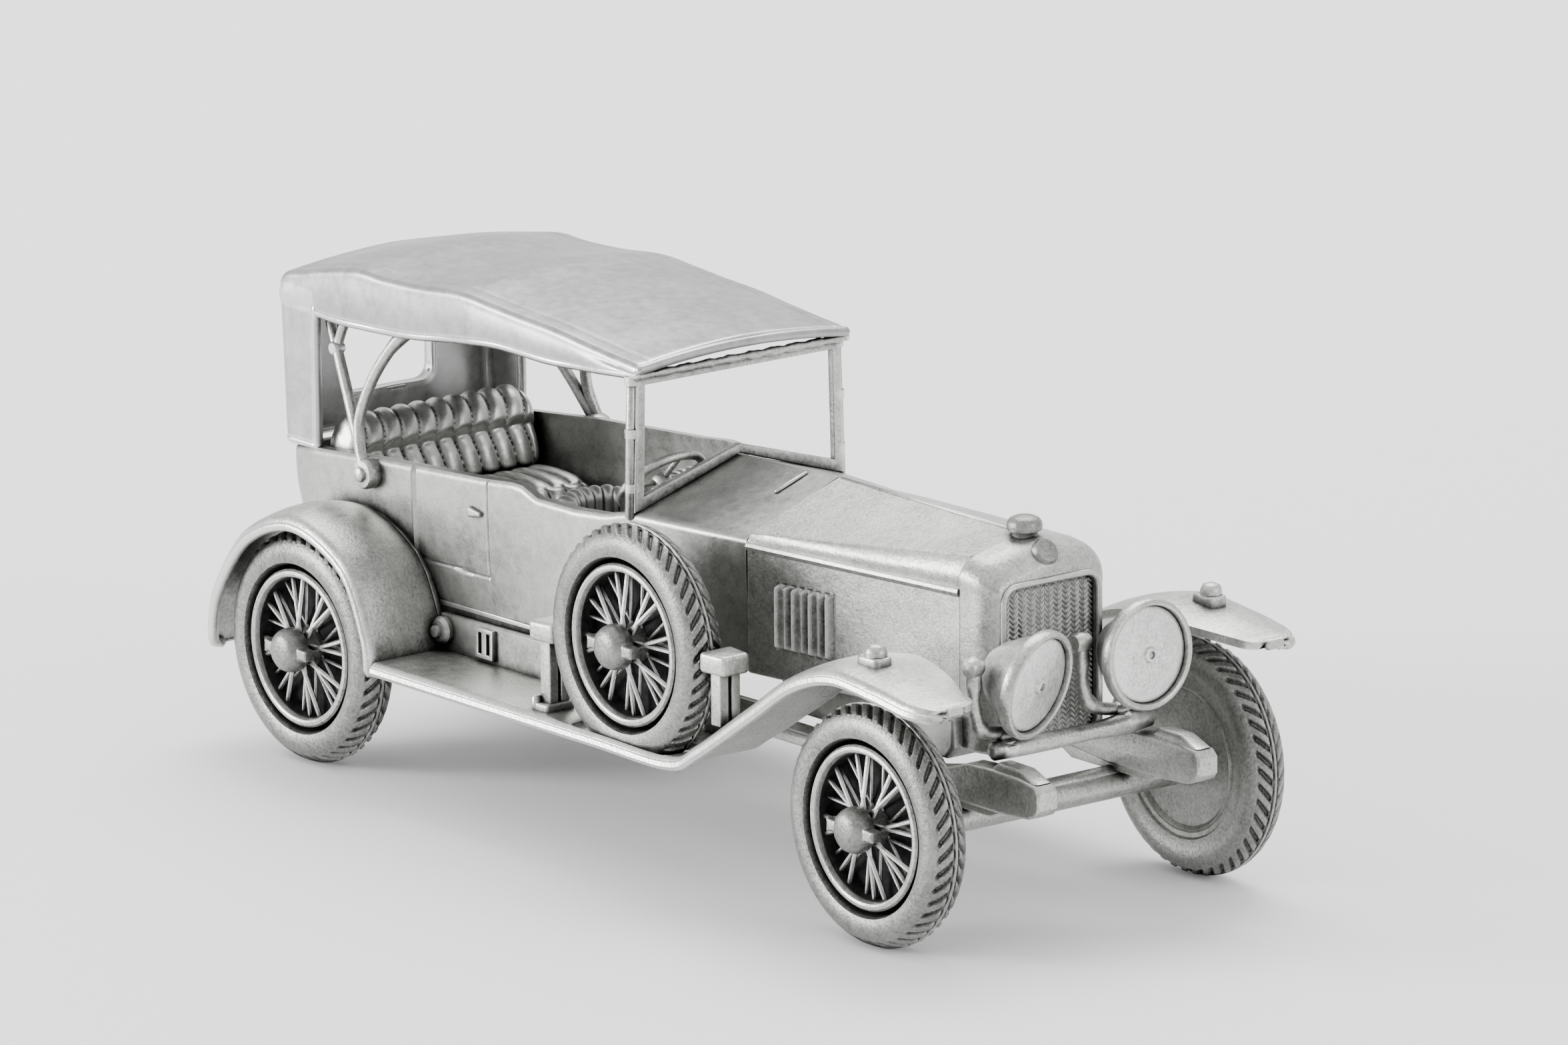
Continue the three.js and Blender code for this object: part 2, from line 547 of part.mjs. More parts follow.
// Rows give x, z, outer and inner edge, crown, and how far the inner edge is turned up.
function wingSheet(rows, s, thickness) {
  const frames = rows.map((row, i) => {
    const before = rows[Math.max(i - 1, 0)];
    const after = rows[Math.min(i + 1, rows.length - 1)];
    const along = new THREE.Vector2(after[0] - before[0], after[1] - before[1]).normalize();
    return { row, down: V(-along.y, 0, along.x) };
  });
  const top = frames.map(({ row, down }) => ACROSS.map((t) => {
    const [x, z, outer, inner, crown, lift] = row;
    const point = V(x, s * lerp(outer, inner, t), z + (t > 0.9 ? lift : 0));
    return point.addScaledVector(down, -crown * 4 * t * (1 - t));
  }));
  const bottom = top.map((line, i) => line.map((p) => p.clone().addScaledVector(frames[i].down, thickness)));
  return sheet(top, bottom);
}

const BOARD_ROWS = [
  [8.7, 20.0, WING_OUTER - 1.5, 14.2, 0, 0], [8.2, 20.0, WING_OUTER - 0.7, 13.2, 0.2, 0],
  [6.6, 20.1, WING_OUTER, 12.7, 0.4, 0],
  [3.0, 20.6, WING_OUTER, 11.3, 0.5, 0], [-2.0, 20.9, WING_OUTER, 10.3, 0.5, 0],
  [-6.8, 19.4, WING_OUTER, 10.3, 0.5, 0], [-12, 16, WING_OUTER, 10.6, 0.4, 0],
  [-18.3, 11.9, WING_OUTER, 11.0, 0.1, 0], [-21.5, BOARD_TOP, WING_OUTER, 11.2, 0, 1.4],
  [-40, BOARD_TOP, WING_OUTER, 11.4, 0, 1.4], [12.4 - WHEELBASE, BOARD_TOP, WING_OUTER, 11.4, 0, 1.4],
];
for (const [side, s] of SIDES) {
  const wing = wingSheet(smoothRows(BOARD_ROWS, 2), s, WING_SHEET);
  if (s > 0) {
    add(`wing_board_${side}`, wing);
    continue;
  }
  const reach = Math.sqrt(TYRE_RADIUS ** 2 - (SPARE_Z - BOARD_TOP) ** 2) + FIT_GAP;
  const well = box([-SPARE_X - reach, -SPARE_Y - TYRE_SECTION - 0.2, 5],
    [-SPARE_X + reach, -SPARE_Y + TYRE_SECTION + 0.2, 15]);
  add(`wing_board_${side}`, cut(wing, well));
}

// Ahead of the rear axle, height, inset of the outer edge; the rest as above.
const REAR_WING_ROWS = [
  [11.2, BOARD_TOP - BOARD_SHEET, 0.3, 11.4, 0, 0], [10.7, 12.5, 0.3, 11.4, 0.3, 0],
  [7.8, 17.5, 0.3, 11.4, 0.6, 0], [1.2, 19.9, 0.3, 11.3, 0.7, 0], [-5.2, 17.8, 0.3, 11.1, 0.6, 0],
  [-9.7, 12.6, 0.5, 11.0, 0.4, 0], [-11.4, 7.6, 0.9, 11.6, 0.2, 0],
].map(([ahead, z, inset, ...rest]) => [ahead - WHEELBASE, z, WING_OUTER - inset, ...rest]);
for (const [side, s] of SIDES) {
  add(`rear_wing_${side}`, wingSheet(smoothRows(REAR_WING_ROWS, 3), s, WING_SHEET));
}

// ---------------------------------------------------------------- lamps
const LAMP_Y = 5.3;
const LAMP_FACE_X = 6.6;
const LAMP_TAIL = 1.7; // radius of the lamp's narrow back end
const NUB_Y = WHEEL_Y - 0.1; // side lamps, on the crown of the front wings
const NUB_Z = 21.65;
const PIVOT_BACK = 3.4; // how far behind its lens a lamp is pivoted
const ARM_RADIUS = 0.5;
const BAR = V(3.9, 7.4, 14.2);
const BAR_RADIUS = 0.62;

// Each lamp is set at its own slight angle, as it was glued.
const lamps = [
  { side: 'right', s: -1, z: 19.3, yaw: 17, pitch: -12, nubX: -0.3 },
  { side: 'left', s: 1, z: 19.9, yaw: 2, pitch: 2, nubX: 1.7 },
].map((lamp) => {
  const [a, b] = [lamp.yaw, lamp.pitch].map(THREE.MathUtils.degToRad);
  const aim = V(Math.cos(b) * Math.cos(a), Math.cos(b) * Math.sin(a), Math.sin(b));
  const face = V(LAMP_FACE_X, lamp.s * LAMP_Y, lamp.z);
  const across = V(-Math.sin(a), Math.cos(a), 0);
  return { ...lamp, aim, face, across, pivot: face.clone().addScaledVector(aim, -PIVOT_BACK) };
});
const shellAtPivot = lerp(LAMP_TAIL, LAMP_RADIUS - 0.5, (LAMP_LENGTH - 0.6 - PIVOT_BACK) / (LAMP_LENGTH - 1.5));
const ARM_Y = shellAtPivot + FIT_GAP + ARM_RADIUS;

function lampBar() {
  const parts = [rod(V(BAR.x, -BAR.y, BAR.z), V(BAR.x, BAR.y, BAR.z), BAR_RADIUS)];
  for (const { pivot, across } of lamps) {
    const at = (side, up) => pivot.clone().addScaledVector(across, side).add(V(0, 0, up));
    const low = -ARM_Y - 0.9;
    parts.push(sweep([at(-ARM_Y, 0.9), at(-ARM_Y, -1.6), at(-ARM_Y * 0.75, low + 0.7), at(0, low),
      at(ARM_Y * 0.75, low + 0.7), at(ARM_Y, -1.6), at(ARM_Y, 0.9)], ARM_RADIUS, 12));
    parts.push(ball(at(-ARM_Y - 0.2, 0.9), 0.7), ball(at(ARM_Y + 0.2, 0.9), 0.7));
    const foot = V(BAR.x, Math.sign(pivot.y) * Math.min(Math.abs(pivot.y), BAR.y - 0.5), BAR.z);
    parts.push(rod(foot, at(0, low), 0.6));
  }
  return join(...parts);
}
add('lamp_bar', lampBar());

for (const { side, s, face, aim, nubX } of lamps) {
  const mouth = LAMP_RADIUS - 0.4;
  const shell = lathe([[0, -LAMP_LENGTH], [LAMP_TAIL - 0.7, -LAMP_LENGTH], [LAMP_TAIL, 0.6 - LAMP_LENGTH],
    [LAMP_RADIUS - 0.5, -0.9], [LAMP_RADIUS, -0.8], [LAMP_RADIUS, 0], [mouth, 0.1], [mouth, -0.7],
    [0, -0.9]], 20);
  const edge = mouth - FIT_GAP;
  const lens = lathe([[0, -0.9 + FIT_GAP], [edge, -0.7 + FIT_GAP], [edge, -0.15], [0, 0.15]], 20);
  add(`headlamp_shell_${side}`, stand(shell, face, aim));
  add(`headlamp_lens_${side}`, stand(lens, face, aim));
  const nub = plateAcross([[-1.2, 0], [1.1, 0], [1.2, 0.7], [0.6, 1.2], [-0.6, 1.2], [-1.2, 0.6]],
    s * NUB_Y - 0.8, s * NUB_Y + 0.8);
  add(`side_lamp_${side}`, nub.translate(nubX, 0, NUB_Z));
}

// ---------------------------------------------------------------- spare wheel brackets
function spareBracket(front) {
  const clear = TYRE_RADIUS + FIT_GAP;
  const s = front ? 1 : -1;
  const near = -SPARE_X + s * clear;
  const far = near + s * 2.4;
  const top = front ? 18.9 : 17.3;
  const foot = front ? 13.9 : BOARD_TOP + FIT_GAP;
  const head = box([Math.min(near, far), -SPARE_Y - 1.3, top - 1.7], [Math.max(near, far), 1.6 - SPARE_Y, top]);
  const middle = (near + far) / 2;
  return join(head, box([middle - 0.6, -SPARE_Y - 0.5, foot], [middle + 0.6, 0.9 - SPARE_Y, top - 1]));
}
add('spare_bracket_front', spareBracket(true));
add('spare_bracket_rear', spareBracket(false));

// ---------------------------------------------------------------- origin
const bounds = new THREE.Box3().setFromObject(car);
const middle = bounds.getCenter(V());
car.position.set(-middle.x, -middle.y, -bounds.min.z);

export default car;
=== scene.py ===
import math

import bmesh
import bpy
from mathutils import Matrix, Vector


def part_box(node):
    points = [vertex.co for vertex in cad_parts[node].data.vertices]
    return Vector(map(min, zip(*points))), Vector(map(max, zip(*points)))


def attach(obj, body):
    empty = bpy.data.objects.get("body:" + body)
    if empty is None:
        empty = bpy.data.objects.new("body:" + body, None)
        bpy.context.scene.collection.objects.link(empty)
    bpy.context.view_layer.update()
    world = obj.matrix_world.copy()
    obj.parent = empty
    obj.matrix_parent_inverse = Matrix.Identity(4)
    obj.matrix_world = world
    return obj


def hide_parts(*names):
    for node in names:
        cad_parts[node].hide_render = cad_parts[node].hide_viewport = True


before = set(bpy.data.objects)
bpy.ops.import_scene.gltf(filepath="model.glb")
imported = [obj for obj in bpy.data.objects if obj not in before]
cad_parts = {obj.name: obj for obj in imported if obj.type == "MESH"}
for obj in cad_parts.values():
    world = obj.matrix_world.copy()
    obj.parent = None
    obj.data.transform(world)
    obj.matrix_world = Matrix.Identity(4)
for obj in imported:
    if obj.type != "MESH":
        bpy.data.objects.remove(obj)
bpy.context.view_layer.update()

# ------------------------------------------------------------------ camera
# The model is drawn from here on in millimetres from the front axle: x forward, y to the
# car's left, z up from the ground.  at() turns such a point into the frame's metres.
axle_low, axle_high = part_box("front_axle")
AXLE = Vector(((axle_low.x + axle_high.x) / 2, (axle_low.y + axle_high.y) / 2, 0))
MM = 0.001
EYE = (682.99, -570.47, 250.31)
HEADING, DIP, ROLL = 2.46675, 0.243008, -0.00827  # radians


def at(x, y, z):
    """A point of the model, in the frame's metres."""
    return Vector((x, y, z)) * MM + AXLE


camera = bpy.data.objects.new("camera", bpy.data.cameras.new("camera"))
bpy.context.scene.collection.objects.link(camera)
camera.data.lens = 285.25
camera.data.sensor_width = 36.0
camera.data.clip_start = 0.05
camera.data.clip_end = 20.0
look = Matrix.Rotation(HEADING, 3, "Z") @ Matrix.Rotation(DIP, 3, "Y") @ Vector((1, 0, 0))
turn = look.to_track_quat("-Z", "Y").to_matrix() @ Matrix.Rotation(ROLL, 3, "Z")
camera.matrix_world = Matrix.Translation(at(*EYE)) @ turn.to_4x4()
bpy.context.scene.camera = camera

# ------------------------------------------------------------------ studio
# A plain white table in a pale room that the metal mirrors, brighter behind the car and
# overhead; one soft box high behind the car, one low at the viewer's left, one weak in front.


class Finish:
    """A material being built: node() adds one node, and amounts work as plain sums."""

    def __init__(self, name):
        self.material = bpy.data.materials.new(name)
        self.material.use_nodes = True
        self.tree = self.material.node_tree
        self.tree.nodes.clear()

    def node(self, kind, settings=None, values=None, output=0):
        made = self.tree.nodes.new(kind)
        for key, value in (settings or {}).items():
            if key == "stops":
                for stop, (place, shade) in zip(ramp_stops(made, len(value)), value):
                    stop.position = place
                    stop.color = shade if hasattr(shade, "__len__") else (shade, shade, shade, 1)
            else:
                setattr(made, key, value)
        for key, value in (values or {}).items():
            socket = made.inputs[key]
            if isinstance(value, Amount):
                self.tree.links.new(value.socket, socket)
            else:
                socket.default_value = value
        return Amount(self, made.outputs[output]) if made.outputs else made

    def close(self, shader):
        self.node("ShaderNodeOutputMaterial", values={"Surface": shader})
        return self.material


def ramp_stops(made, count):
    stops = made.color_ramp.elements
    while len(stops) < count:
        stops.new(0.5)
    return stops


class Amount:
    """A socket that adds, subtracts and multiplies through Math nodes."""

    def __init__(self, finish, socket):
        self.finish = finish
        self.socket = socket

    def math(self, operation, first, second, clamp=False):
        settings = {"operation": operation, "use_clamp": clamp}
        return self.finish.node("ShaderNodeMath", settings, {0: first, 1: second})

    def __add__(self, other):
        return self.math("ADD", self, other)

    __radd__ = __add__

    def __mul__(self, other):
        return self.math("MULTIPLY", self, other)

    def __sub__(self, other):
        return self.math("SUBTRACT", self, other)

    def within(self):
        return self.math("ADD", self, 0.0, clamp=True)


def table_finish():
    finish = Finish("pale_table")
    shader = finish.node("ShaderNodeBsdfPrincipled", values={
        "Base Color": (0.95, 0.95, 0.955, 1), "Roughness": 0.6, "Specular IOR Level": 0.3})
    return finish.close(shader)


def link(name, data):
    piece = bpy.data.objects.new(name, data)
    bpy.context.scene.collection.objects.link(piece)
    return piece


def table():
    reach = 3.0
    plane = bpy.data.meshes.new("table")
    corners = [(-reach, -reach, 0), (reach, -reach, 0), (reach, reach, 0), (-reach, reach, 0)]
    plane.from_pydata(corners, [], [(0, 1, 2, 3)])
    plane.materials.append(table_finish())
    link("table", plane)


def soft_box(name, place, target, size, power):
    lamp = bpy.data.lights.new(name, "AREA")
    lamp.shape = "RECTANGLE"
    lamp.size, lamp.size_y = size
    lamp.energy = power
    box = link(name, lamp)
    aim = (Vector(target) - Vector(place)).to_track_quat("-Z", "Y")
    box.matrix_world = Matrix.Translation(place) @ aim.to_matrix().to_4x4()


def lit_room(bright, dim, window):
    """A pale room, brighter towards its window and dimmer on the other side."""
    room = bpy.data.worlds.new("room")
    room.use_nodes = True
    tree = room.node_tree
    place = tree.nodes.new("ShaderNodeTexCoord")
    facing = tree.nodes.new("ShaderNodeVectorMath")
    facing.operation = "DOT_PRODUCT"
    facing.inputs[1].default_value = Vector(window).normalized()
    fall = tree.nodes.new("ShaderNodeMapRange")
    fall.inputs["From Min"].default_value = -0.75
    fall.inputs["From Max"].default_value = 0.6
    fall.inputs["To Min"].default_value = dim
    fall.inputs["To Max"].default_value = bright
    tree.links.new(place.outputs["Generated"], facing.inputs[0])
    tree.links.new(facing.outputs["Value"], fall.inputs["Value"])
    tree.links.new(fall.outputs["Result"], tree.nodes["Background"].inputs["Strength"])
    tree.nodes["Background"].inputs["Color"].default_value = (0.98, 0.98, 1.0, 1)
    bpy.context.scene.world = room


table()
soft_box("key_box", (-0.30, 0.30, 0.75), (0, 0, 0.02), (0.6, 0.45), 6.5)
soft_box("side_box", (-0.65, -0.85, 0.26), (0, 0, 0.02), (0.4, 0.3), 15.0)
soft_box("front_box", (0.95, 0.25, 0.40), (0.03, 0, 0.02), (0.4, 0.3), 3.0)
lit_room(1.46, 0.31, (-0.40, 0.25, 0.9))

# ------------------------------------------------------------------ cast pewter
# The whole model is cast in white metal and tumbled to a satin.  Its hollows are painted near-black from an
# occlusion mask: partly the casting's black wash, partly painted shade.  The sand grain of the mould shows
# most on flat sides.
# Near-black painted into the hollows: partly the casting's black wash, partly painted shade.
WASH_AND_SHADE_BLACK = (0.018, 0.018, 0.016, 1)


def pewter(name, tone, grain=0.5, wash_and_shade=1.0, rough=0.4, reach=1.4):
    """Grain is the sand texture, reach a hollow's size in millimetres, and the hollow strength how black a
    hollow is painted: partly black wash, partly painted shade.
    """
    finish = Finish(name)
    place = finish.node("ShaderNodeTexCoord", output=3)
    cloud = finish.node("ShaderNodeTexNoise", values={
        "Vector": place, "Scale": 210.0, "Detail": 4.0, "Roughness": 0.6})
    speck = finish.node("ShaderNodeTexNoise", values={
        "Vector": place, "Scale": 3900.0, "Detail": 3.0, "Roughness": 0.7})
    smear = finish.node("ShaderNodeTexNoise", values={
        "Vector": place, "Scale": 1100.0, "Detail": 4.0, "Roughness": 0.6})
    # The occlusion mask below paints hollows and the gaps between parts dark: partly black wash, partly
    # painted shade.
    open_sky = finish.node("ShaderNodeAmbientOcclusion", {"samples": 12}, {"Distance": reach * MM},
                           output=1)
    hollow = finish.node("ShaderNodeValToRGB", {"stops": [(0.40, 1.0), (0.62, 0.55), (0.90, 0.0)]},
                         {"Fac": open_sky + (smear - 0.5) * 0.30 + (speck - 0.5) * 0.12})
    edge = finish.node("ShaderNodeAmbientOcclusion", {"samples": 8, "inside": True},
                       {"Distance": 0.32 * MM}, output=1)
    worn = finish.node("ShaderNodeValToRGB", {"stops": [(0.30, 1.0), (0.78, 0.0)]},
                       {"Fac": edge + (speck - 0.5) * 0.2})
    shade = (cloud - 0.5) * 0.9 + (smear - 0.5) * 0.7 + (speck - 0.5) * (2.2 * grain) + 0.5
    metal = finish.node("ShaderNodeValToRGB", {"stops": [
        (0.05, tuple(0.62 * c for c in tone) + (1,)), (0.5, tone + (1,)),
        (0.95, tuple(min(1.0, 1.3 * c) for c in tone) + (1,))]}, {"Fac": shade})
    rubbed = finish.node("ShaderNodeMix", {"data_type": "RGBA"}, {
        "Factor": worn * 0.6, 6: metal, 7: (0.80, 0.80, 0.78, 1)}, output=2)
    # The colour is mixed towards near-black where the occlusion mask finds a hollow: painted shade, with
    # the casting's black wash.
    coloured = finish.node("ShaderNodeMix", {"data_type": "RGBA"}, {
        "Factor": (hollow * wash_and_shade).within(), 6: rubbed, 7: WASH_AND_SHADE_BLACK}, output=2)
    bump = finish.node("ShaderNodeBump", values={
        "Strength": 0.6 * grain, "Distance": 0.10 * MM, "Height": speck * 0.8 + smear * 0.6})
    shader = finish.node("ShaderNodeBsdfPrincipled", values={
        "Base Color": coloured, "Metallic": 0.9,
        "Roughness": rough + (smear - 0.5) * 0.25 + hollow * 0.25 - worn * 0.08, "Normal": bump})
    return finish.close(shader)


def black_wash_and_shade_finish(name):
    """Near-black for the deepest hollows: partly black wash left to dry there, partly painted shade."""
    finish = Finish(name)
    place = finish.node("ShaderNodeTexCoord", output=3)
    dust = finish.node("ShaderNodeTexNoise", values={
        "Vector": place, "Scale": 1500.0, "Detail": 3.0, "Roughness": 0.6})
    colour = finish.node("ShaderNodeValToRGB", {"stops": [(0.35, 0.004), (0.75, 0.025)]}, {"Fac": dust})
    bump = finish.node("ShaderNodeBump", values={"Strength": 0.3, "Distance": 0.1 * MM, "Height": dust})
    shader = finish.node("ShaderNodeBsdfPrincipled", values={
        "Base Color": colour, "Specular IOR Level": 0.15, "Roughness": 0.7 + dust * 0.2, "Normal": bump})
    return finish.close(shader)


BODY = pewter("cast_pewter_body", (0.375, 0.38, 0.36), grain=0.35, rough=0.37)
SANDED = pewter("cast_pewter_sanded", (0.46, 0.46, 0.44), grain=0.8, rough=0.36)
# The deepest hollows are painted near-black: partly black wash, partly painted shade.
DEEP_WASH_AND_SHADE = black_wash_and_shade_finish("deep_wash_and_painted_shade")

# ------------------------------------------------------------------ tyres
# Each tyre is one casting with the wheel's plain back disc.  The tread has a centre rib with
# slanting cuts to both sides, like a feather, cut as real grooves whose insides are painted dark: partly
# black wash, partly painted shade.
TYRE_RADIUS = 9.17
TYRE_SECTION = 1.75
TREAD_PITCHES = 44
TREAD_EDGE = 52  # degrees each way from the tyre's middle
TYRE = pewter("cast_pewter_tyre", (0.23, 0.233, 0.218), grain=0.95, rough=0.40, reach=0.9)


def grid_faces(rows, columns, start=0, round_rows=False, round_columns=False):
    """Squares between the points of a grid, which may close on itself either way."""
    faces = []
    for i in range(rows if round_rows else rows - 1):
        for j in range(columns if round_columns else columns - 1):
            a, b = i * columns + j, i * columns + (j + 1) % columns
            c, d = ((i + 1) % rows) * columns + (j + 1) % columns, ((i + 1) % rows) * columns + j
            faces.append((start + a, start + b, start + c, start + d))
    return faces


def tread_depth(degrees_across, degrees_round):
    """A raised middle rib, a shallow groove each side of it, then the slanting cuts."""
    rib, groove_end = 4, 8
    side = abs(degrees_across)
    if side < rib or side > TREAD_EDGE:
        return 0.0
    if side < groove_end:
        return 0.16
    lean = side / 48 * 1.15
    part = (degrees_round * TREAD_PITCHES / 360 + lean) % 1.0
    cut = max(0.0, 1 - abs(part - 0.5) / 0.26)
    fade = min(1.0, (TREAD_EDGE - side) / 8)
    return 0.30 * fade * min(1.0, 1.6 * cut)


def tyre_mesh():
    """The outer tread and side walls, then the plain disc that closes the inner side."""
    steps = TREAD_PITCHES * 11
    middle = TYRE_RADIUS - TYRE_SECTION
    across = [112 - 7.5 * k for k in range(8)] + [TREAD_EDGE - 2.6 * k for k in range(41)]
    across += [-59.5 - 7.5 * k for k in range(8)]
    back = [(6.2, -1.62), (6.05, -1.42), (5.7, -1.38), (5.5, -1.5), (5.2, -1.2), (2.0, -1.05),
            (1.8, -1.6), (1.5, -1.78), (0.9, -1.78), (0.9, -0.75), (6.55, -0.75), (6.6, 1.2)]
    points = []
    for i in range(steps):
        turn_deg = 360 * i / steps
        a = math.radians(turn_deg)
        ring = []
        for deg in across:
            w = math.radians(deg)
            r = TYRE_SECTION - tread_depth(deg, turn_deg)
            ring.append((middle + r * math.cos(w), r * math.sin(w)))
        points += [Vector((r * math.sin(a), y, r * math.cos(a))) for r, y in ring + back]
    return points, grid_faces(steps, len(across) + len(back), round_rows=True, round_columns=True)


tyre_points, tyre_faces = tyre_mesh()

# ------------------------------------------------------------------ wheel centres
# The spoke insert is pressed into the tyre: a bright rim ring, a hub barrel and two sets of
# thin crossing spokes in a well painted near-black, partly black wash and partly painted shade.
# Profiles are (radius, height) pairs, with height measured outwards along the axle.
RIM_PROFILE = [(5.58, -0.45), (5.58, 1.25), (5.68, 1.42), (5.85, 1.5), (6.08, 1.46), (6.24, 1.3),
               (6.26, 1.1), (6.26, -0.45)]
DISH_PROFILE = [(0.02, -0.62), (6.2, -0.62), (6.2, -0.42), (3.4, -0.42), (1.6, 0.0), (0.02, 0.0)]
HUB_PROFILE = [(0.02, -0.2), (1.5, -0.2), (1.5, 0.5), (1.3, 1.2), (1.35, 1.75), (0.02, 1.75)]
NUT_PROFILE = [(0.02, 1.55), (1.62, 1.55), (1.74, 1.75), (1.76, 2.2), (1.68, 2.6), (1.5, 2.95),
               (1.2, 3.2), (0.8, 3.33), (0.4, 3.38), (0.02, 3.39)]
WELL_PROFILE = [(5.50, -0.43), (5.62, -0.43), (5.62, 1.02), (5.50, 0.98)]
SPOKE = 0.18
SPOKE_ROOT, SPOKE_TIP = 1.15, 5.75
EAR_OUT, EAR_UP = 2.05, 2.25


def piece_from(name, points, faces, finish, angle=32):
    """A mesh piece, smooth except along edges sharper than the angle."""
    mesh = bpy.data.meshes.new(name)
    mesh.from_pydata(points, [], faces)
    mesh.materials.append(finish)
    work = bmesh.new()
    work.from_mesh(mesh)
    bmesh.ops.remove_doubles(work, verts=work.verts, dist=0.002 * MM)
    bmesh.ops.dissolve_degenerate(work, edges=work.edges, dist=0.0005 * MM)
    bmesh.ops.recalc_face_normals(work, faces=work.faces)
    work.to_mesh(mesh)
    work.free()
    mesh.shade_smooth()
    mesh.set_sharp_from_angle(angle=math.radians(angle))
    return link(name, mesh)


def tube_of_rings(name, rings, finish, angle=32):
    """A closed body through rings of points, with both ends filled."""
    columns = len(rings[0])
    points = [p for ring in rings for p in ring]
    faces = grid_faces(len(rings), columns, round_columns=True)
    faces.append(tuple(range(columns)))
    faces.append(tuple(range((len(rings) - 1) * columns, len(rings) * columns)))
    return piece_from(name, points, faces, finish, angle)


def turned(profile, steps):
    """Points and faces of a closed (radius, y) profile carried round the Y axis."""
    points = []
    for i in range(steps):
        a = 2 * math.pi * i / steps
        points += [Vector((r * math.sin(a), y, r * math.cos(a))) for r, y in profile]
    return points, grid_faces(steps, len(profile), round_rows=True, round_columns=True)


def stand(points, place, direction=(0, 1, 0)):
    """Moves points drawn about the Y axis in millimetres to a place and a direction."""
    spin = Vector((0, 1, 0)).rotation_difference(Vector(direction).normalized())
    return [at(*place) + (spin @ Vector(p)) * MM for p in points]


def turned_piece(name, profile, steps, place, direction, finish, angle=32):
    points, faces = turned(profile, steps)
    return piece_from(name, stand(points, place, direction), faces, finish, angle)


def plate(name, outlines, low, high, axes, finish, ease=0.12, angle=32):
    """Filled outlines (the first with the others as holes) pushed from low to high."""
    curve = bpy.data.curves.new(name, "CURVE")
    curve.dimensions = "2D"
    curve.fill_mode = "BOTH"
    curve.extrude = (high - low) / 2 * MM - ease * MM
    curve.bevel_depth = ease * MM
    curve.bevel_resolution = 2
    curve.offset = -ease * MM
    for outline in outlines:
        spline = curve.splines.new("POLY")
        spline.points.add(len(outline) - 1)
        for point, (u, v) in zip(spline.points, outline):
            point.co = (u * MM, v * MM, 0, 1)
        spline.use_cyclic_u = True
    drawn = link(name + "_outline", curve)
    bpy.context.view_layer.update()
    mesh = bpy.data.meshes.new_from_object(drawn.evaluated_get(bpy.context.evaluated_depsgraph_get()))
    bpy.data.objects.remove(drawn)
    middle = (low + high) / 2
    points = []
    for vertex in mesh.vertices:
        u, v, w = (c / MM for c in vertex.co)
        spots = dict(zip(axes, (u, v, w + middle)))
        points.append(at(spots["x"], spots["y"], spots["z"]))
    faces = [tuple(p.vertices) for p in mesh.polygons]
    bpy.data.meshes.remove(mesh)
    return piece_from(name, points, faces, finish, angle)


def rounded(outline, radius, steps=5):
    """The outline with each corner rounded."""
    out = []
    count = len(outline)
    for i in range(count):
        before, corner, after = (Vector(outline[(i + k) % count]) for k in (-1, 0, 1))
        r = min(radius, (before - corner).length / 2.1, (after - corner).length / 2.1)
        a = corner + (before - corner).normalized() * r
        b = corner + (after - corner).normalized() * r
        for k in range(steps + 1):
            t = k / steps
            p = a * (1 - t) ** 2 + corner * 2 * t * (1 - t) + b * t * t
            out.append((p.x, p.y))
    return out


def merged(name, pieces):
    """Several meshes made one piece."""
    work = bmesh.new()
    finishes = []
    for one in pieces:
        before = len(work.faces)
        work.from_mesh(one.data)
        work.faces.ensure_lookup_table()
        for face in work.faces[before:]:
            finish = one.data.materials[face.material_index]
            if finish not in finishes:
                finishes.append(finish)
            face.material_index = finishes.index(finish)
    mesh = bpy.data.meshes.new(name)
    work.to_mesh(mesh)
    work.free()
    for finish in finishes:
        mesh.materials.append(finish)
    for one in pieces:
        bpy.data.objects.remove(one)
    return link(name, mesh)


def fitted(piece, body, slot, *nodes):
    """Says which body a piece moves with and which plain nodes it stands in for."""
    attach(piece, body)
    if nodes:
        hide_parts(*nodes)
    return piece


def repeat_tree(name, in_ring):
    """Copies a mesh Count times, each turned (in a ring) or moved (in a row) one Step further."""
    tree = bpy.data.node_groups.new(name, "GeometryNodeTree")
    face = tree.interface
    face.new_socket("Geometry", in_out="INPUT", socket_type="NodeSocketGeometry")
    face.new_socket("Count", in_out="INPUT", socket_type="NodeSocketInt")
    face.new_socket("Step", in_out="INPUT", socket_type="NodeSocketVector")
    face.new_socket("Finish", in_out="INPUT", socket_type="NodeSocketMaterial")
    face.new_socket("Geometry", in_out="OUTPUT", socket_type="NodeSocketGeometry")
    given = tree.nodes.new("NodeGroupInput")
    result = tree.nodes.new("NodeGroupOutput")
    spots = tree.nodes.new("GeometryNodePoints")
    copies = tree.nodes.new("GeometryNodeInstanceOnPoints")
    index = tree.nodes.new("GeometryNodeInputIndex")
    scale = tree.nodes.new("ShaderNodeVectorMath")
    real = tree.nodes.new("GeometryNodeRealizeInstances")
    coat = tree.nodes.new("GeometryNodeSetMaterial")
    scale.operation = "SCALE"
    join = tree.links.new
    join(given.outputs["Count"], spots.inputs["Count"])
    join(given.outputs["Step"], scale.inputs[0])
    join(index.outputs[0], scale.inputs["Scale"])
    join(given.outputs["Geometry"], copies.inputs["Instance"])
    if in_ring:
        join(scale.outputs[0], copies.inputs["Rotation"])
        join(spots.outputs[0], copies.inputs["Points"])
    else:
        move = tree.nodes.new("GeometryNodeSetPosition")
        join(spots.outputs[0], move.inputs["Geometry"])
        join(scale.outputs[0], move.inputs["Position"])
        join(move.outputs[0], copies.inputs["Points"])
    join(copies.outputs[0], real.inputs[0])
    join(real.outputs[0], coat.inputs["Geometry"])
    join(given.outputs["Finish"], coat.inputs["Material"])
    join(coat.outputs[0], result.inputs[0])
    return tree


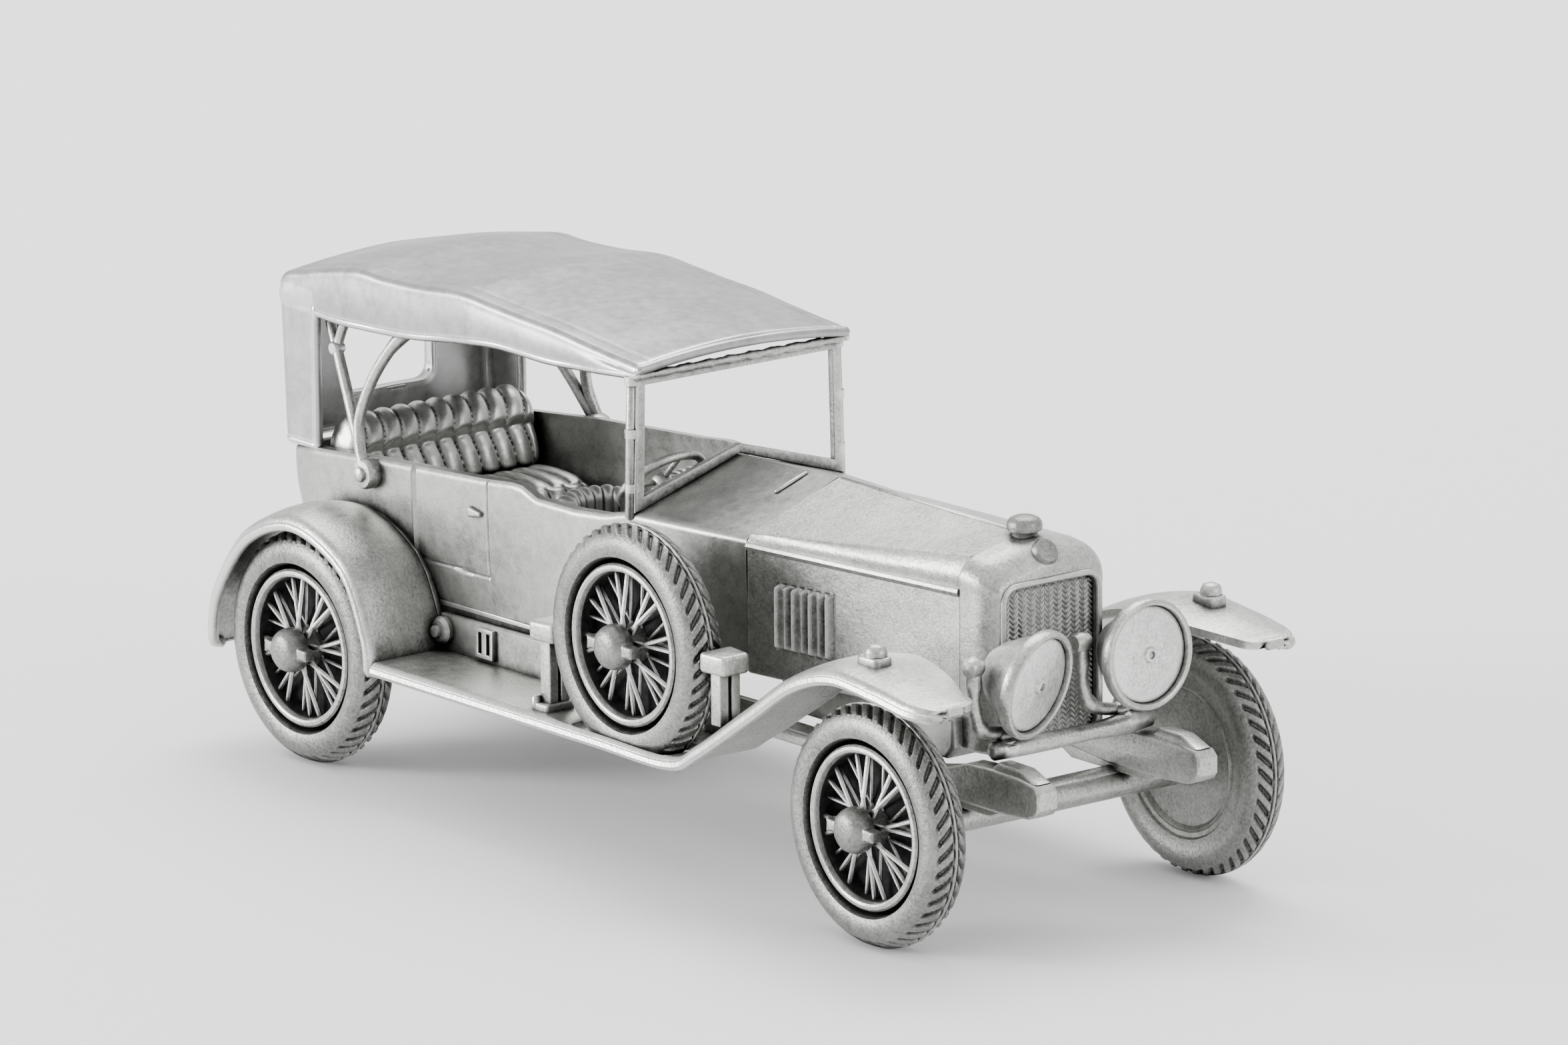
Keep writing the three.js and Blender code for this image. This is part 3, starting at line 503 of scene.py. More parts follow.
def repeated(piece, tree, count, step, finish):
    """Repeats a piece's mesh through a tree and leaves the result as its plain mesh."""
    modifier = piece.modifiers.new("repeat", "NODES")
    modifier.node_group = tree
    sockets = {s.name: s.identifier for s in tree.interface.items_tree if s.in_out == "INPUT"}
    modifier[sockets["Count"]] = count
    modifier[sockets["Step"]] = step
    modifier[sockets["Finish"]] = finish
    bpy.context.view_layer.update()
    shown = piece.evaluated_get(bpy.context.evaluated_depsgraph_get())
    mesh = bpy.data.meshes.new_from_object(shown)
    piece.modifiers.clear()
    piece.data = mesh
    return piece


RING = repeat_tree("ring_of_copies", True)


def spoke_set(name, lean, hub_y, rim_y, first, radius=SPOKE):
    """Eight equal spokes; lean is how far round a spoke's tip is from its root, in degrees."""
    count = 8
    a, b = math.radians(first), math.radians(first + lean)
    start = Vector((SPOKE_ROOT * math.sin(a), hub_y, SPOKE_ROOT * math.cos(a)))
    end = Vector((SPOKE_TIP * math.sin(b), rim_y, SPOKE_TIP * math.cos(b)))
    along = (end - start).normalized()
    side = along.cross(Vector((0, 1, 0))).normalized()
    up = along.cross(side)
    rings = []
    for p, r in ((start, radius * 1.25), (start.lerp(end, 0.15), radius), (end, radius * 1.1)):
        rings.append([p + (side * math.cos(k * math.pi / 3) + up * math.sin(k * math.pi / 3)) * r
                      for k in range(6)])
    spoke = tube_of_rings(name, rings, SANDED, 50)
    return repeated(spoke, RING, count, (0.0, 2 * math.pi / count, 0.0), SANDED)


def spokes():
    thin = 0.13
    sets = [spoke_set("front_left_lean", 17, 1.15, 0.55, 0),
            spoke_set("front_right_lean", -17, 1.15, 0.5, 20),
            spoke_set("back_left_lean", 26, 0.1, 0.2, 8, thin),
            spoke_set("back_right_lean", -26, 0.1, 0.15, 30, thin)]
    return merged("spoke_set", sets)


spoke_master = spokes()


def wheel_dressing(name, tyre, insert, nut, body, outward):
    """One wheel's tyre, spoked centre and winged nut, on its plain tyre's middle."""
    low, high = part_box(tyre)
    middle = ((low + high) / 2 - AXLE) / MM
    face = (0, outward, 0)
    ring = piece_from(f"{name}_cast_tyre", stand(tyre_points, middle, face), tyre_faces, TYRE, 30)
    fitted(ring, body, "tyre_casting", tyre)
    parts = [turned_piece("rim", RIM_PROFILE, 96, middle, face, SANDED),
             # The well and the back dish are painted near-black: partly black wash, partly painted shade.
             turned_piece("well", WELL_PROFILE, 96, middle, face, DEEP_WASH_AND_SHADE),
             turned_piece("dish", DISH_PROFILE, 48, middle, face, DEEP_WASH_AND_SHADE),
             turned_piece("hub", HUB_PROFILE, 32, middle, face, SANDED, 40)]
    spread = spoke_master.copy()
    spread.data = spoke_master.data.copy()
    bpy.context.scene.collection.objects.link(spread)
    spin = Vector((0, 1, 0)).rotation_difference(Vector(face))
    for vertex in spread.data.vertices:
        vertex.co = at(*middle) + (spin @ vertex.co) * MM
    fitted(merged(f"{name}_spoked_centre", parts + [spread]), body, "wheel_casting", insert)
    dome = [turned_piece("dome", NUT_PROFILE, 40, middle, face, TYRE, 40)]
    for s in (-1, 1):
        x, y, z = middle.x + s * EAR_OUT, middle.y + outward * EAR_UP, middle.z
        ear = [(x - 0.62, z - 0.52), (x + 0.62, z - 0.42), (x + 0.62, z + 0.42), (x - 0.62, z + 0.52)]
        dome.append(plate("ear", [rounded(ear, 0.12)], y - 0.5, y + 0.5, "xzy", TYRE, 0.16))
    fitted(merged(f"{name}_winged_nut", dome), body, "wheel_casting", nut)


for end in ("front", "rear"):
    for side, outward in (("right", -1), ("left", 1)):
        wheel = f"{end}_{side}"
        wheel_dressing(wheel, f"{wheel}_tyre", f"{wheel}_spoke_insert", f"{wheel}_hub_nut",
                       f"{wheel}_wheel", outward)
wheel_dressing("spare", "spare_tyre", "spare_spoke_insert", "spare_hub_nut", "car", -1)
bpy.data.objects.remove(spoke_master)

# ------------------------------------------------------------------ body tub and scuttle
# One hollow casting: straight tourer sides with shallow door lines, a pointed gable over the
# scuttle, and an open cockpit.  The scuttle's side and the tub's side are one surface.
BODY_ROWS = [  # x, half width, bottom, side height, ridge height
    (-78.6, 9.9, 16.8, 22.7, 22.7), (-77.6, 10.2, 14.6, 22.8, 22.8), (-75.8, 10.5, 12.8, 23.0, 23.0),
    (-66, 10.9, 12.0, 23.9, 23.9), (-53, 11.0, 12.3, 24.75, 24.75), (-49.6, 11.0, 12.5, 25.1, 25.1),
    (-48.4, 10.98, 12.55, 25.05, 25.05), (-46.6, 10.95, 12.7, 24.4, 24.4),
    (-42, 10.8, 12.95, 24.35, 24.35), (-38.6, 10.55, 13.2, 24.6, 24.6), (-36.1, 10.33, 13.6, 25.2, 25.2)]
SCUTTLE_ROWS = [
    (-36.1, 10.33, 13.6, 25.2, 28.25), (-30, 9.72, 14.3, 25.3, 28.5), (-23.35, 8.95, 15.0, 25.4, 28.75)]
TAIL, DASH, SCUTTLE_FRONT = -78.6, -36.1, -23.35
DOOR = {"back": -62.1, "front": -52.6, "bottom": 17.0, "top": 24.4}
SEAM = 0.14


def between(rows, x):
    """The row's values at x, drawn straight between its neighbours."""
    for a, b in zip(rows, rows[1:]):
        if a[0] <= x <= b[0]:
            t = (x - a[0]) / (b[0] - a[0])
            return [u + (v - u) * t for u, v in zip(a[1:], b[1:])]
    return rows[0][1:] if x < rows[0][0] else rows[-1][1:]


def groove(distance, width):
    """A rounded line's depth, full in its middle and none beyond its width."""
    return max(0.0, 1 - (distance / width) ** 2)


def door_relief(x, z):
    """How far a point of the side is sunk (+) by the door lines or raised (-) by its strips."""
    d = DOOR
    inside_x = d["back"] - 0.1 < x < d["front"] + 0.1
    inside_z = d["bottom"] - 0.1 < z < d["top"] + 0.6
    sunk = 0.0
    if inside_z:
        sunk = max(sunk, groove(x - d["front"], SEAM))
    if inside_x:
        sunk = max(sunk, groove(z - d["bottom"], SEAM))
    relief = 0.12 * sunk
    if inside_z:
        relief -= 0.22 * max(0.0, 1 - abs(x - d["back"] - 0.15) / 0.34)
    return relief


def side_path(half, bottom, side, ridge, flat):
    """Half a section, from the middle of the belly round the side to the top's middle."""
    foot = half - 0.75
    path = [(0.0, bottom), (foot * 0.5, bottom), (foot - 0.5, bottom), (foot - 0.1, bottom + 0.15),
            (foot + 0.15, bottom + 0.6)]
    steps = 62
    for k in range(steps + 1):
        t = k / steps
        z = bottom + 1.2 + (side - 0.35 - bottom - 1.2) * t
        bulge = 0.75 * (1 - (1 - t) ** 2.4)
        path.append((half - 0.55 + bulge * 0.73, z))
    path += [(half - 0.08, side - 0.14), (half - 0.25, side + 0.04)]
    for k in range(1, flat + 1):
        t = k / flat
        path.append(((half - 0.45) * (1 - t), side + 0.12 + (ridge - side - 0.12) * t))
    return path


def body_ring(x, row, relief=None, flat=8):
    """A whole section; relief sinks or raises the points of its straight side."""
    half = side_path(*row, flat)
    ring = []
    for s, path in ((-1, half), (1, list(reversed(half)))):
        for y, z in path[:-1]:
            sunk = relief(x, z) if relief and y > row[0] - 1.4 and z < row[2] + 0.1 else 0.0
            ring.append(at(x, s * (y - sunk), z))
    return ring


def cockpit_cutter():
    skin, floor, clear = 0.9, 14, 40
    rings = []
    for x in (-77.6, -66, -46.5, -37.1):
        w = between(BODY_ROWS, x)[0] - skin
        rings.append([at(x, y, z) for y, z in ((-w + 0.7, floor), (-w, 17.5), (-w, clear), (w, clear),
                                               (w, 17.5), (w - 0.7, floor))])
    return tube_of_rings("cockpit", rings, BODY)


def cut_away(piece, cutter):
    """Takes the cutter's shape out of the piece, and then the cutter away."""
    modifier = piece.modifiers.new("cut", "BOOLEAN")
    modifier.operation = "DIFFERENCE"
    modifier.solver = "EXACT"
    modifier.object = cutter
    bpy.context.view_layer.update()
    mesh = bpy.data.meshes.new_from_object(piece.evaluated_get(bpy.context.evaluated_depsgraph_get()))
    piece.modifiers.clear()
    piece.data = mesh
    mesh.set_sharp_from_angle(angle=math.radians(32))
    bpy.data.objects.remove(cutter)
    return piece


def swept(name, points, radius, finish, sides=12, taper=None):
    """A round bar along points in millimetres, with domed ends."""
    spine = [Vector(p) for p in points]
    rings = []
    side = Vector((0.3, 0.5, 0.8))
    last = len(spine) - 1
    for i, p in enumerate(spine):
        along = (spine[min(i + 1, last)] - spine[max(i - 1, 0)]).normalized()
        side = (side - along * side.dot(along)).normalized()
        other = along.cross(side)
        r = radius * (taper(i / last) if taper else 1.0)
        ring = [(side * math.cos(2 * math.pi * k / sides) + other * math.sin(2 * math.pi * k / sides))
                for k in range(sides)]
        if i == 0:
            rings.append([at(*(p - along * r * 0.5 + v * r * 0.5)) for v in ring])
        rings.append([at(*(p + v * r)) for v in ring])
        if i == last:
            rings.append([at(*(p + along * r * 0.5 + v * r * 0.5)) for v in ring])
    return tube_of_rings(name, rings, finish, 50)


def body():
    """Sections lie closest where the door lines are."""
    def spread(low, high, step):
        count = max(2, round((high - low) / step))
        return [low + (high - low) * k / count for k in range(count + 1)]

    behind_door, ahead_of_door = -63.2, -51.6
    stations = spread(TAIL, behind_door, 0.8) + spread(behind_door, ahead_of_door, 0.085)
    stations = sorted(set(stations + spread(ahead_of_door, DASH, 0.35)))
    tub_rings = [body_ring(x, between(BODY_ROWS, x), door_relief) for x in stations]
    tub = cut_away(tube_of_rings("tub", tub_rings, BODY), cockpit_cutter())
    scuttle_rings = [body_ring(x, between(SCUTTLE_ROWS, x), None, 14)
                     for x in spread(DASH, SCUTTLE_FRONT, 0.4)]
    scuttle = tube_of_rings("scuttle", scuttle_rings, BODY)
    dash = plate("dash", [[(-9.9, 14.2), (9.9, 14.2), (10.0, 25.0), (0, 28.0), (-10.0, 25.0)]],
                 -36.5, -36.0, "yzx", BODY, 0.1)
    trim = [tub, scuttle, dash]
    for s in (-1, 1):
        handle = [(-54.7, 21.55), (-53.2, 21.8), (-53.2, 22.15), (-54.7, 22.4)]
        y0, y1 = sorted((s * 10.9, s * 11.35))
        trim.append(plate("door_handle", [rounded(handle, 0.12)], y0, y1, "xzy", BODY, 0.12))
        bar = [(-64.2, 13.6), (-64.2, 14.0), (-46.0, 14.2), (-46.0, 13.8)]
        y0, y1 = sorted((s * 10.3, s * 10.62))
        trim.append(plate("sill_line", [bar], y0, y1, "xzy", BODY, 0.08))
    bar = [(-26.6, -0.5, 28.5), (-26.6, -2.0, 28.0), (-26.6, -3.4, 27.5)]
    trim.append(swept("scuttle_bar", bar, 0.2, BODY, 8))
    return merged("body_and_scuttle", trim)


fitted(body(), "car", "body_casting", "body_tub")

# ------------------------------------------------------------------ bonnet
# A solid-looking cover in one casting with the body: a ridge along the middle, a flute under
# each shoulder that fades out at the scuttle, a bead below it and a panel of upright louvres.
NOSE = {"x": -1.9, "half": 5.95, "flute_y": 4.9, "flute_z": 27.35, "ridge": 28.5}
BACK = {"x": -23.3, "half": 8.95, "flute_y": 8.6, "flute_z": 25.7, "ridge": 28.75}
LOUVRES = {"back": -20.3, "front": -14.3, "low": 17.4, "high": 22.6, "count": 7}


def louvre_relief(x, z):
    """How far a point of the side is raised (-) by the louvres or sunk (+) round their panel."""
    p = LOUVRES
    if not (p["back"] < x < p["front"] and p["low"] < z < p["high"]):
        return 0.0
    edge = min(x - p["back"], p["front"] - x, z - p["low"], p["high"] - z)
    part = ((x - p["back"]) / (p["front"] - p["back"]) * p["count"]) % 1.0
    rib = 0.55 * max(0.0, 1 - abs(part - 0.5) / 0.36)
    return -min(1.0, edge / 0.35) * (0.08 + rib) + 0.12 * (1 if edge < 0.2 else 0)


def bonnet_ring(x):
    """A section: straight side, bead, sunk flute, then the flat slope up to the ridge."""
    t = (x - BACK["x"]) / (NOSE["x"] - BACK["x"])
    w, fy, fz, top = (BACK[key] + (NOSE[key] - BACK[key]) * t
                      for key in ("half", "flute_y", "flute_z", "ridge"))
    low = 15.0
    shoulder = 25.2
    path = [(0.0, low), (w * 0.5, low), (w - 0.2, low), (w, low + 0.15)]
    for k in range(1, 72):
        path.append((w, low + 0.15 + (shoulder - 0.75 - low - 0.15) * k / 72))
    bead = 0.22
    path += [(w, shoulder - 0.7), (w + bead * 0.7, shoulder - 0.55), (w + bead, shoulder - 0.35),
             (w + bead * 0.7, shoulder - 0.12), (w - 0.02, shoulder)]
    dip = 0.42 * min(1.0, t * 1.6)
    for k in range(1, 13):
        q = k / 13
        y, z = w + (fy - w) * q, shoulder + (fz - shoulder) * q
        sink = dip * math.sin(math.pi * q) ** 0.7
        path.append((y - sink * 0.7, z - sink * 0.7))
    path += [(fy, fz), (fy - 0.12, fz + 0.1)]
    for k in range(1, 15):
        q = k / 14
        path.append(((fy - 0.12) * (1 - q), fz + 0.1 + (top - fz - 0.1) * q))
    ring = []
    for s, half in ((-1, path), (1, list(reversed(path)))):
        for y, z in half[:-1]:
            sunk = louvre_relief(x, z) if y > w - 0.05 and z < shoulder - 0.8 else 0.0
            ring.append(at(x, s * (y - sunk), z))
    return ring


def bonnet():
    count = 236
    back, front = BACK["x"] + 0.1, NOSE["x"] - 0.04
    rings = [bonnet_ring(back + (front - back) * k / count) for k in range(count + 1)]
    hinge = swept("hinge", [(-23.0, 0, 28.72), (-12, 0, 28.62), (-2.1, 0, 28.45)], 0.14, BODY, 8)
    return merged("fluted_bonnet", [tube_of_rings("cover", rings, SANDED), hinge])


fitted(bonnet(), "car", "body_casting", "bonnet")

# ------------------------------------------------------------------ radiator
# The shell rounds in to a narrower face with a bead round a sunk core.  The core is cast in a
# fine herringbone weave, and a plain cap and a blank oval badge sit over it.
CORE = {"half": 4.35, "low": 13.4, "top": 25.3, "corner": 1.2, "x": 1.15}
CAP_PROFILE = [(0.02, -0.3), (0.95, -0.3), (0.98, 0.28), (1.3, 0.34), (1.36, 0.6), (1.3, 0.95),
               (1.12, 1.2), (0.8, 1.36), (0.4, 1.43), (0.02, 1.45)]
BADGE_PROFILE = [(0.02, -0.6), (1.0, -0.6), (1.06, 0.3), (0.92, 0.5), (0.5, 0.6), (0.02, 0.62)]
WEAVE = pewter("cast_pewter_weave", (0.42, 0.42, 0.40), grain=0.3, wash_and_shade=1.0, rough=0.42, reach=0.5)


def smooth_path(points, steps):
    """Catmull-Rom through a few chosen points or rows of numbers."""
    ends = [points[0], *points, points[-1]]
    path = []
    for i in range(1, len(ends) - 2):
        p, q, r, s = ends[i - 1:i + 3]
        for k in range(steps):
            t = k / steps
            path.append(tuple(0.5 * (2 * b + (c - a) * t + (2 * a - 5 * b + 4 * c - d) * t * t
                                     + (3 * b - a - 3 * c + d) * t ** 3)
                              for a, b, c, d in zip(p, q, r, s)))
    return path + [tuple(points[-1])]


def wall(name, top, bottom, finish, angle=32):
    """Two grids of points joined all round their rims."""
    rows, columns = len(top), len(top[0])
    points = [p for row in top for p in row] + [p for row in bottom for p in row]
    half = rows * columns
    faces = grid_faces(rows, columns) + grid_faces(rows, columns, half)
    rim = [j for j in range(columns)] + [i * columns + columns - 1 for i in range(1, rows)]
    rim += [(rows - 1) * columns + j for j in range(columns - 2, -1, -1)]
    rim += [i * columns for i in range(rows - 2, 0, -1)]
    for k, a in enumerate(rim):
        b = rim[(k + 1) % len(rim)]
        faces.append((a, b, b + half, a + half))
    return piece_from(name, points, faces, finish, angle)


def shell_ring(x, w, side, top):
    """A section of half width w, its side lowered by side and its ridge by top."""
    peak = 28.5 - top
    low = 12.9
    half = [(0, low), (w * 0.5, low), (w - 0.25, low), (w, low + 0.25)]
    half += [(w, low + 0.25 + (25.0 - side - low - 0.25) * k / 10) for k in range(1, 11)]
    corner = [(w, 25.0 - side), (w - 0.05, 26.2 - side), (w - 0.9, 27.2 - (side + top) / 2),
              (w - 2.6, 27.75 - (side + 2 * top) / 3), (0, peak)]
    half += smooth_path(corner, 6)[1:]
    right = [at(x, -y, z) for y, z in half[:-1]]
    left = [at(x, y, z) for y, z in list(reversed(half))[:-1]]
    return right + left


def radiator_shell():
    rows = [(-1.9, 5.9, 0, 0), (-1.86, 5.97, -0.06, -0.06), (-1.2, 5.95, 0.0, 0.0),
            (-0.4, 5.88, 0.1, 0.1), (0.3, 5.72, 0.25, 0.45), (0.9, 5.42, 0.5, 1.0),
            (1.35, 5.1, 0.8, 1.55), (1.5, 4.9, 0.95, 1.85)]
    rings = [shell_ring(*row) for row in smooth_path(rows, 3)]
    shell = tube_of_rings("shell", rings, SANDED)
    w, lo, hi = CORE["half"], CORE["low"], CORE["top"]
    mouth = rounded([(-w, lo), (w, lo), (w, hi), (-w, hi)], CORE["corner"], 8)
    recess = plate("recess", [mouth], 0.2, 3.0, "yzx", DEEP_WASH_AND_SHADE, 0.02)
    shell = cut_away(shell, recess)
    rim = 0.5
    wide, sill, lintel = w + rim, lo - 0.35, hi + rim
    ledge = rounded([(-wide, sill), (wide, sill), (wide, lintel), (-wide, lintel)], CORE["corner"] + rim, 8)
    bead = plate("bead", [ledge, mouth], 1.15, 1.78, "yzx", SANDED, 0.2, 60)
    return merged("radiator_casing", [shell, bead])


def weave_height(y, z):
    """Herringbone: short ribs that lean one way in one column and the other way in the next."""
    column_width, rib_pitch = 0.42, 0.40
    column = (y + 20) / column_width
    part = column % 1.0
    lean = part if int(column) % 2 else 1 - part
    row = ((z + lean * rib_pitch) / rib_pitch) % 1.0
    rib = 1 - abs(row - 0.5) / 0.5
    gap = min(1.0, min(part, 1 - part) / 0.14)
    return 0.16 * rib * (0.35 + 0.65 * gap)


def radiator_core():
    w, lo, hi = CORE["half"] + 0.05, CORE["low"] - 0.05, CORE["top"] + 0.05
    columns, rows = 170, 230
    front, back = [], []
    for i in range(rows + 1):
        z = lo + (hi - lo) * i / rows
        front.append([])
        back.append([])
        for j in range(columns + 1):
            y = -w + 2 * w * j / columns
            front[-1].append(at(CORE["x"] - 0.16 + weave_height(y, z), y, z))
            back[-1].append(at(0.5, y, z))
    return wall("woven_core", front, back, WEAVE, 75)


fitted(radiator_shell(), "car", "body_casting", "radiator_shell")
fitted(radiator_core(), "car", "radiator_mesh", "radiator_core")
fitted(turned_piece("filler_cap", CAP_PROFILE, 28, (-1.5, 0, 28.45), (0, 0, 1), TYRE, 40),
       "car", "body_casting", "radiator_cap")
fitted(turned_piece("blank_badge", BADGE_PROFILE, 32, (0.72, 0, 27.42), (1, 0, 0.75), TYRE, 40),
       "car", "body_casting", "radiator_badge")

# ------------------------------------------------------------------ windscreen
# A single open frame with no glass: two stanchions, a top rail, and a lower rail that rises
# to a point over the scuttle's ridge.  Each pillar is doubled and held by three clamps.
SCREEN = {"x": -35.5, "half": 10.2, "foot": 25.3, "top": 35.85, "peak": 28.4}


def windscreen():
    x, h, foot, top, peak = (SCREEN[key] for key in ("x", "half", "foot", "top", "peak"))
    outer = [(-h, foot), (-h + 0.8, foot + 0.1), (0, peak), (h - 0.8, foot + 0.1), (h, foot),
             (h - 0.35, top), (0.35 - h, top)]
    inner = [(-h + 0.95, foot + 1.15), (0, peak + 0.75), (h - 0.95, foot + 1.15),
             (h - 1.15, top - 0.75), (1.15 - h, top - 0.75)]
    parts = [plate("sash", [outer, inner], x - 0.32, x + 0.32, "yzx", SANDED, 0.13)]
    for s in (-1, 1):
        post = [(x - 0.25, s * (h + 0.02), foot - 0.4), (x - 0.3, s * (h - 0.12), 30.4),
                (x - 0.32, s * (h - 0.33), top)]
        parts.append(swept("stanchion", post, 0.4, SANDED, 12))
        for z, r in ((31.4, 0.55), (27.2, 0.5), (35.5, 0.58)):
            y = s * (h - 0.12 - 0.02 * (z - 27))
            band = [(0.02, -0.35), (r, -0.35), (r, 0.35), (0.02, 0.35)]
            parts.append(turned_piece("clamp", band, 12, (x - 0.28, y, z), (0, 0, 1), SANDED, 30))
    return merged("open_windscreen", parts)


fitted(windscreen(), "car", "body_casting", "windscreen_frame")

# ------------------------------------------------------------------ hood
# The hood is cast like stretched cloth: it sags between its bows, rolls over at the sides and
# hangs down in a curtain round the back, with one rounded window.
HOOD_ROWS = [  # x, height of the roof's edge, lower edge of its side
    (-80.75, 34.5, 34.1), (-80.7, 35.0, 34.1), (-80.35, 35.8, 34.0), (-79.2, 36.55, 33.9),
    (-77.2, 36.95, 33.8), (-75.5, 37.35, 33.8), (-72.6, 37.9, 33.75), (-69.7, 38.3, 33.8),
    (-66.5, 38.2, 33.9), (-62, 38.35, 34.25), (-57, 38.75, 34.9), (-53, 38.5, 35.3),
    (-49, 38.2, 35.3), (-45, 37.95, 35.25), (-41, 37.5, 35.5), (-37.5, 37.15, 35.8),
    (-35.2, 36.95, 35.95), (-34.75, 36.75, 36.05)]
HOOD_HALF = 10.35
HOOD_SKIN = 0.5
QUARTER = -75.5  # where the side curtains start, ahead of the rear corners
ROOF = pewter("cast_pewter_roof", (0.38, 0.385, 0.375), grain=0.2, wash_and_shade=0.9, rough=0.34)


def pulled(x):
    """How far the cloth's side is drawn in or out at a place along the hood."""
    return 0.14 * math.sin(x * 0.55) * math.sin(x * 0.21 + 1.0)


def hood_arc(x, edge, low, inset):
    """Half of one section, from the lower edge of the side up to the middle of the roof."""
    w, e = HOOD_HALF - inset - 0.35 * max(0.0, -79.3 - x) ** 2, edge - inset
    corner = min(0.7, 0.9 * max(0.05, e - low))
    arc = []
    for k in range(13):
        t = k / 12
        z = low + (e - corner - low) * t
        belly = 0.16 * math.sin(math.pi * t) + pulled(x) * (1 - t)
        arc.append((w - 0.1 + belly, z))
    for k in range(1, 9):
        a = math.pi / 2 * k / 9
        arc.append((w - corner + (corner - 0.1) * math.cos(a), e - corner + corner * math.sin(a)))
    span = w - corner
    for k in range(1, 49):
        y = span * (1 - k / 48)
        crown = 0.8 * (1 - (y / span) ** 2)
        seam = 0.06 * groove(y - span + 0.8, 0.2) if inset == 0 else 0.0
        droop = 0.05 * math.sin(x * 0.74) * math.sin(math.pi * y / span)
        arc.append((y, e + crown - seam + droop))
    return arc


def hood():
    rows = smooth_path(HOOD_ROWS, 9)

    def grid(inset):
        lines = []
        for x, edge, low in rows:
            arc = hood_arc(x, edge, low, inset)
            forward = max(0.0, -80.2 + inset - x)
            right = [at(x + forward, -y, z) for y, z in arc]
            left = [at(x + forward, y, z) for y, z in reversed(arc[:-1])]
            lines.append(right + left)
        return lines

    parts = [wall("roof", grid(0), grid(HOOD_SKIN), ROOF, 40)]
    half = HOOD_HALF - 0.25
    across = [half * k / 24 for k in range(-24, 25)]
    parts.append(swept("header", [(-34.75, y, 36.42 + 0.72 * (1 - (y / half) ** 2)) for y in across],
                       0.38, ROOF, 12))
    parts.append(swept("tack_strip", [(-34.95, y, 35.95) for y in across], 0.32, SANDED, 8,
                       lambda t: 1 + 0.15 * math.sin(t * 60) + 0.1 * math.sin(t * 131)))
    for s in (-1, 1):
        hem = [(x, s * (HOOD_HALF - 0.32 + pulled(x)), low + 0.05)
               for x, _, low in rows if x > QUARTER - 0.1]
        parts.append(swept("hem", hem, 0.36, ROOF, 10))
    return merged("folding_hood", [*parts, curtain()])


def curtain():
    """The back and the quarter panels: one sheet bent round the two rear corners."""
    path = [(QUARTER - 0.5 * k, -10.25) for k in range(8)]
    path += [(-79.15 - 1.15 * math.sin(a), -9.1 - 1.15 * math.cos(a))
             for a in [math.radians(15 * k) for k in range(0, 7)]]
    path += [(-80.3, -8.8 + 0.4 * k) for k in range(1, 44)]
    path += [(x, -y) for x, y in reversed(path[:15])]

    def spot(k, z, depth):
        x, y = path[k]
        before, after = path[max(k - 1, 0)], path[min(k + 1, len(path) - 1)]
        along = Vector((after[0] - before[0], after[1] - before[1], 0)).normalized()
        out = Vector((along.y, -along.x, 0))
        if out.x * (x + 70) + out.y * y < 0:
            out = -out
        wave = 0.08 * math.sin(y * 1.3 + 0.6) * math.sin(z * 0.55)
        lean = 0.05 * (z - 30) * min(1.0, max(0.0, QUARTER - x) / 4)
        return Vector((x - lean, y, z)) + out * (wave - depth)

    hem, top = 22.95, 35.6
    heights = [hem + (top - hem) * i / 40 for i in range(41)]
    outer = [[at(*spot(k, z, 0.0)) for k in range(len(path))] for z in heights]
    inner = [[at(*spot(k, z, HOOD_SKIN)) for k in range(len(path))] for z in heights]
    sheet = wall("curtain", outer, inner, ROOF, 40)
    pane = rounded([(-4.3, 25.7), (4.3, 25.7), (4.3, 33.0), (-4.3, 33.0)], 1.3, 8)
    sheet = cut_away(sheet, plate("pane", [pane], -84.0, -76.0, "yzx", ROOF, 0.01))
    border = rounded([(-4.75, 25.25), (4.75, 25.25), (4.75, 33.45), (-4.75, 33.45)], 1.6, 8)
    parts = [sheet, plate("border", [border, pane], -80.68, -79.6, "yzx", ROOF, 0.15)]
    for k in (0, len(path) - 1):
        edge = [tuple(spot(k, z, 0.25)) for z in heights[:37]]
        parts.append(swept("quarter_edge", edge, 0.36, ROOF, 12))
    rail = [tuple(spot(k, 23.15, 0.25)) for k in range(len(path))]
    parts.append(swept("bottom_hem", rail, 0.34, ROOF, 10))
    return merged("curtain", parts)


fitted(hood(), "car", "hood_casting", "hood_canopy")

# ------------------------------------------------------------------ hood irons
# One forged-looking set each side: a disc pivot on the body, a bowed stick up to the roof,
# and a second stick that forks in two under the roof's back.
IRON_PIVOT = (-67.3, 11.3, 22.7)


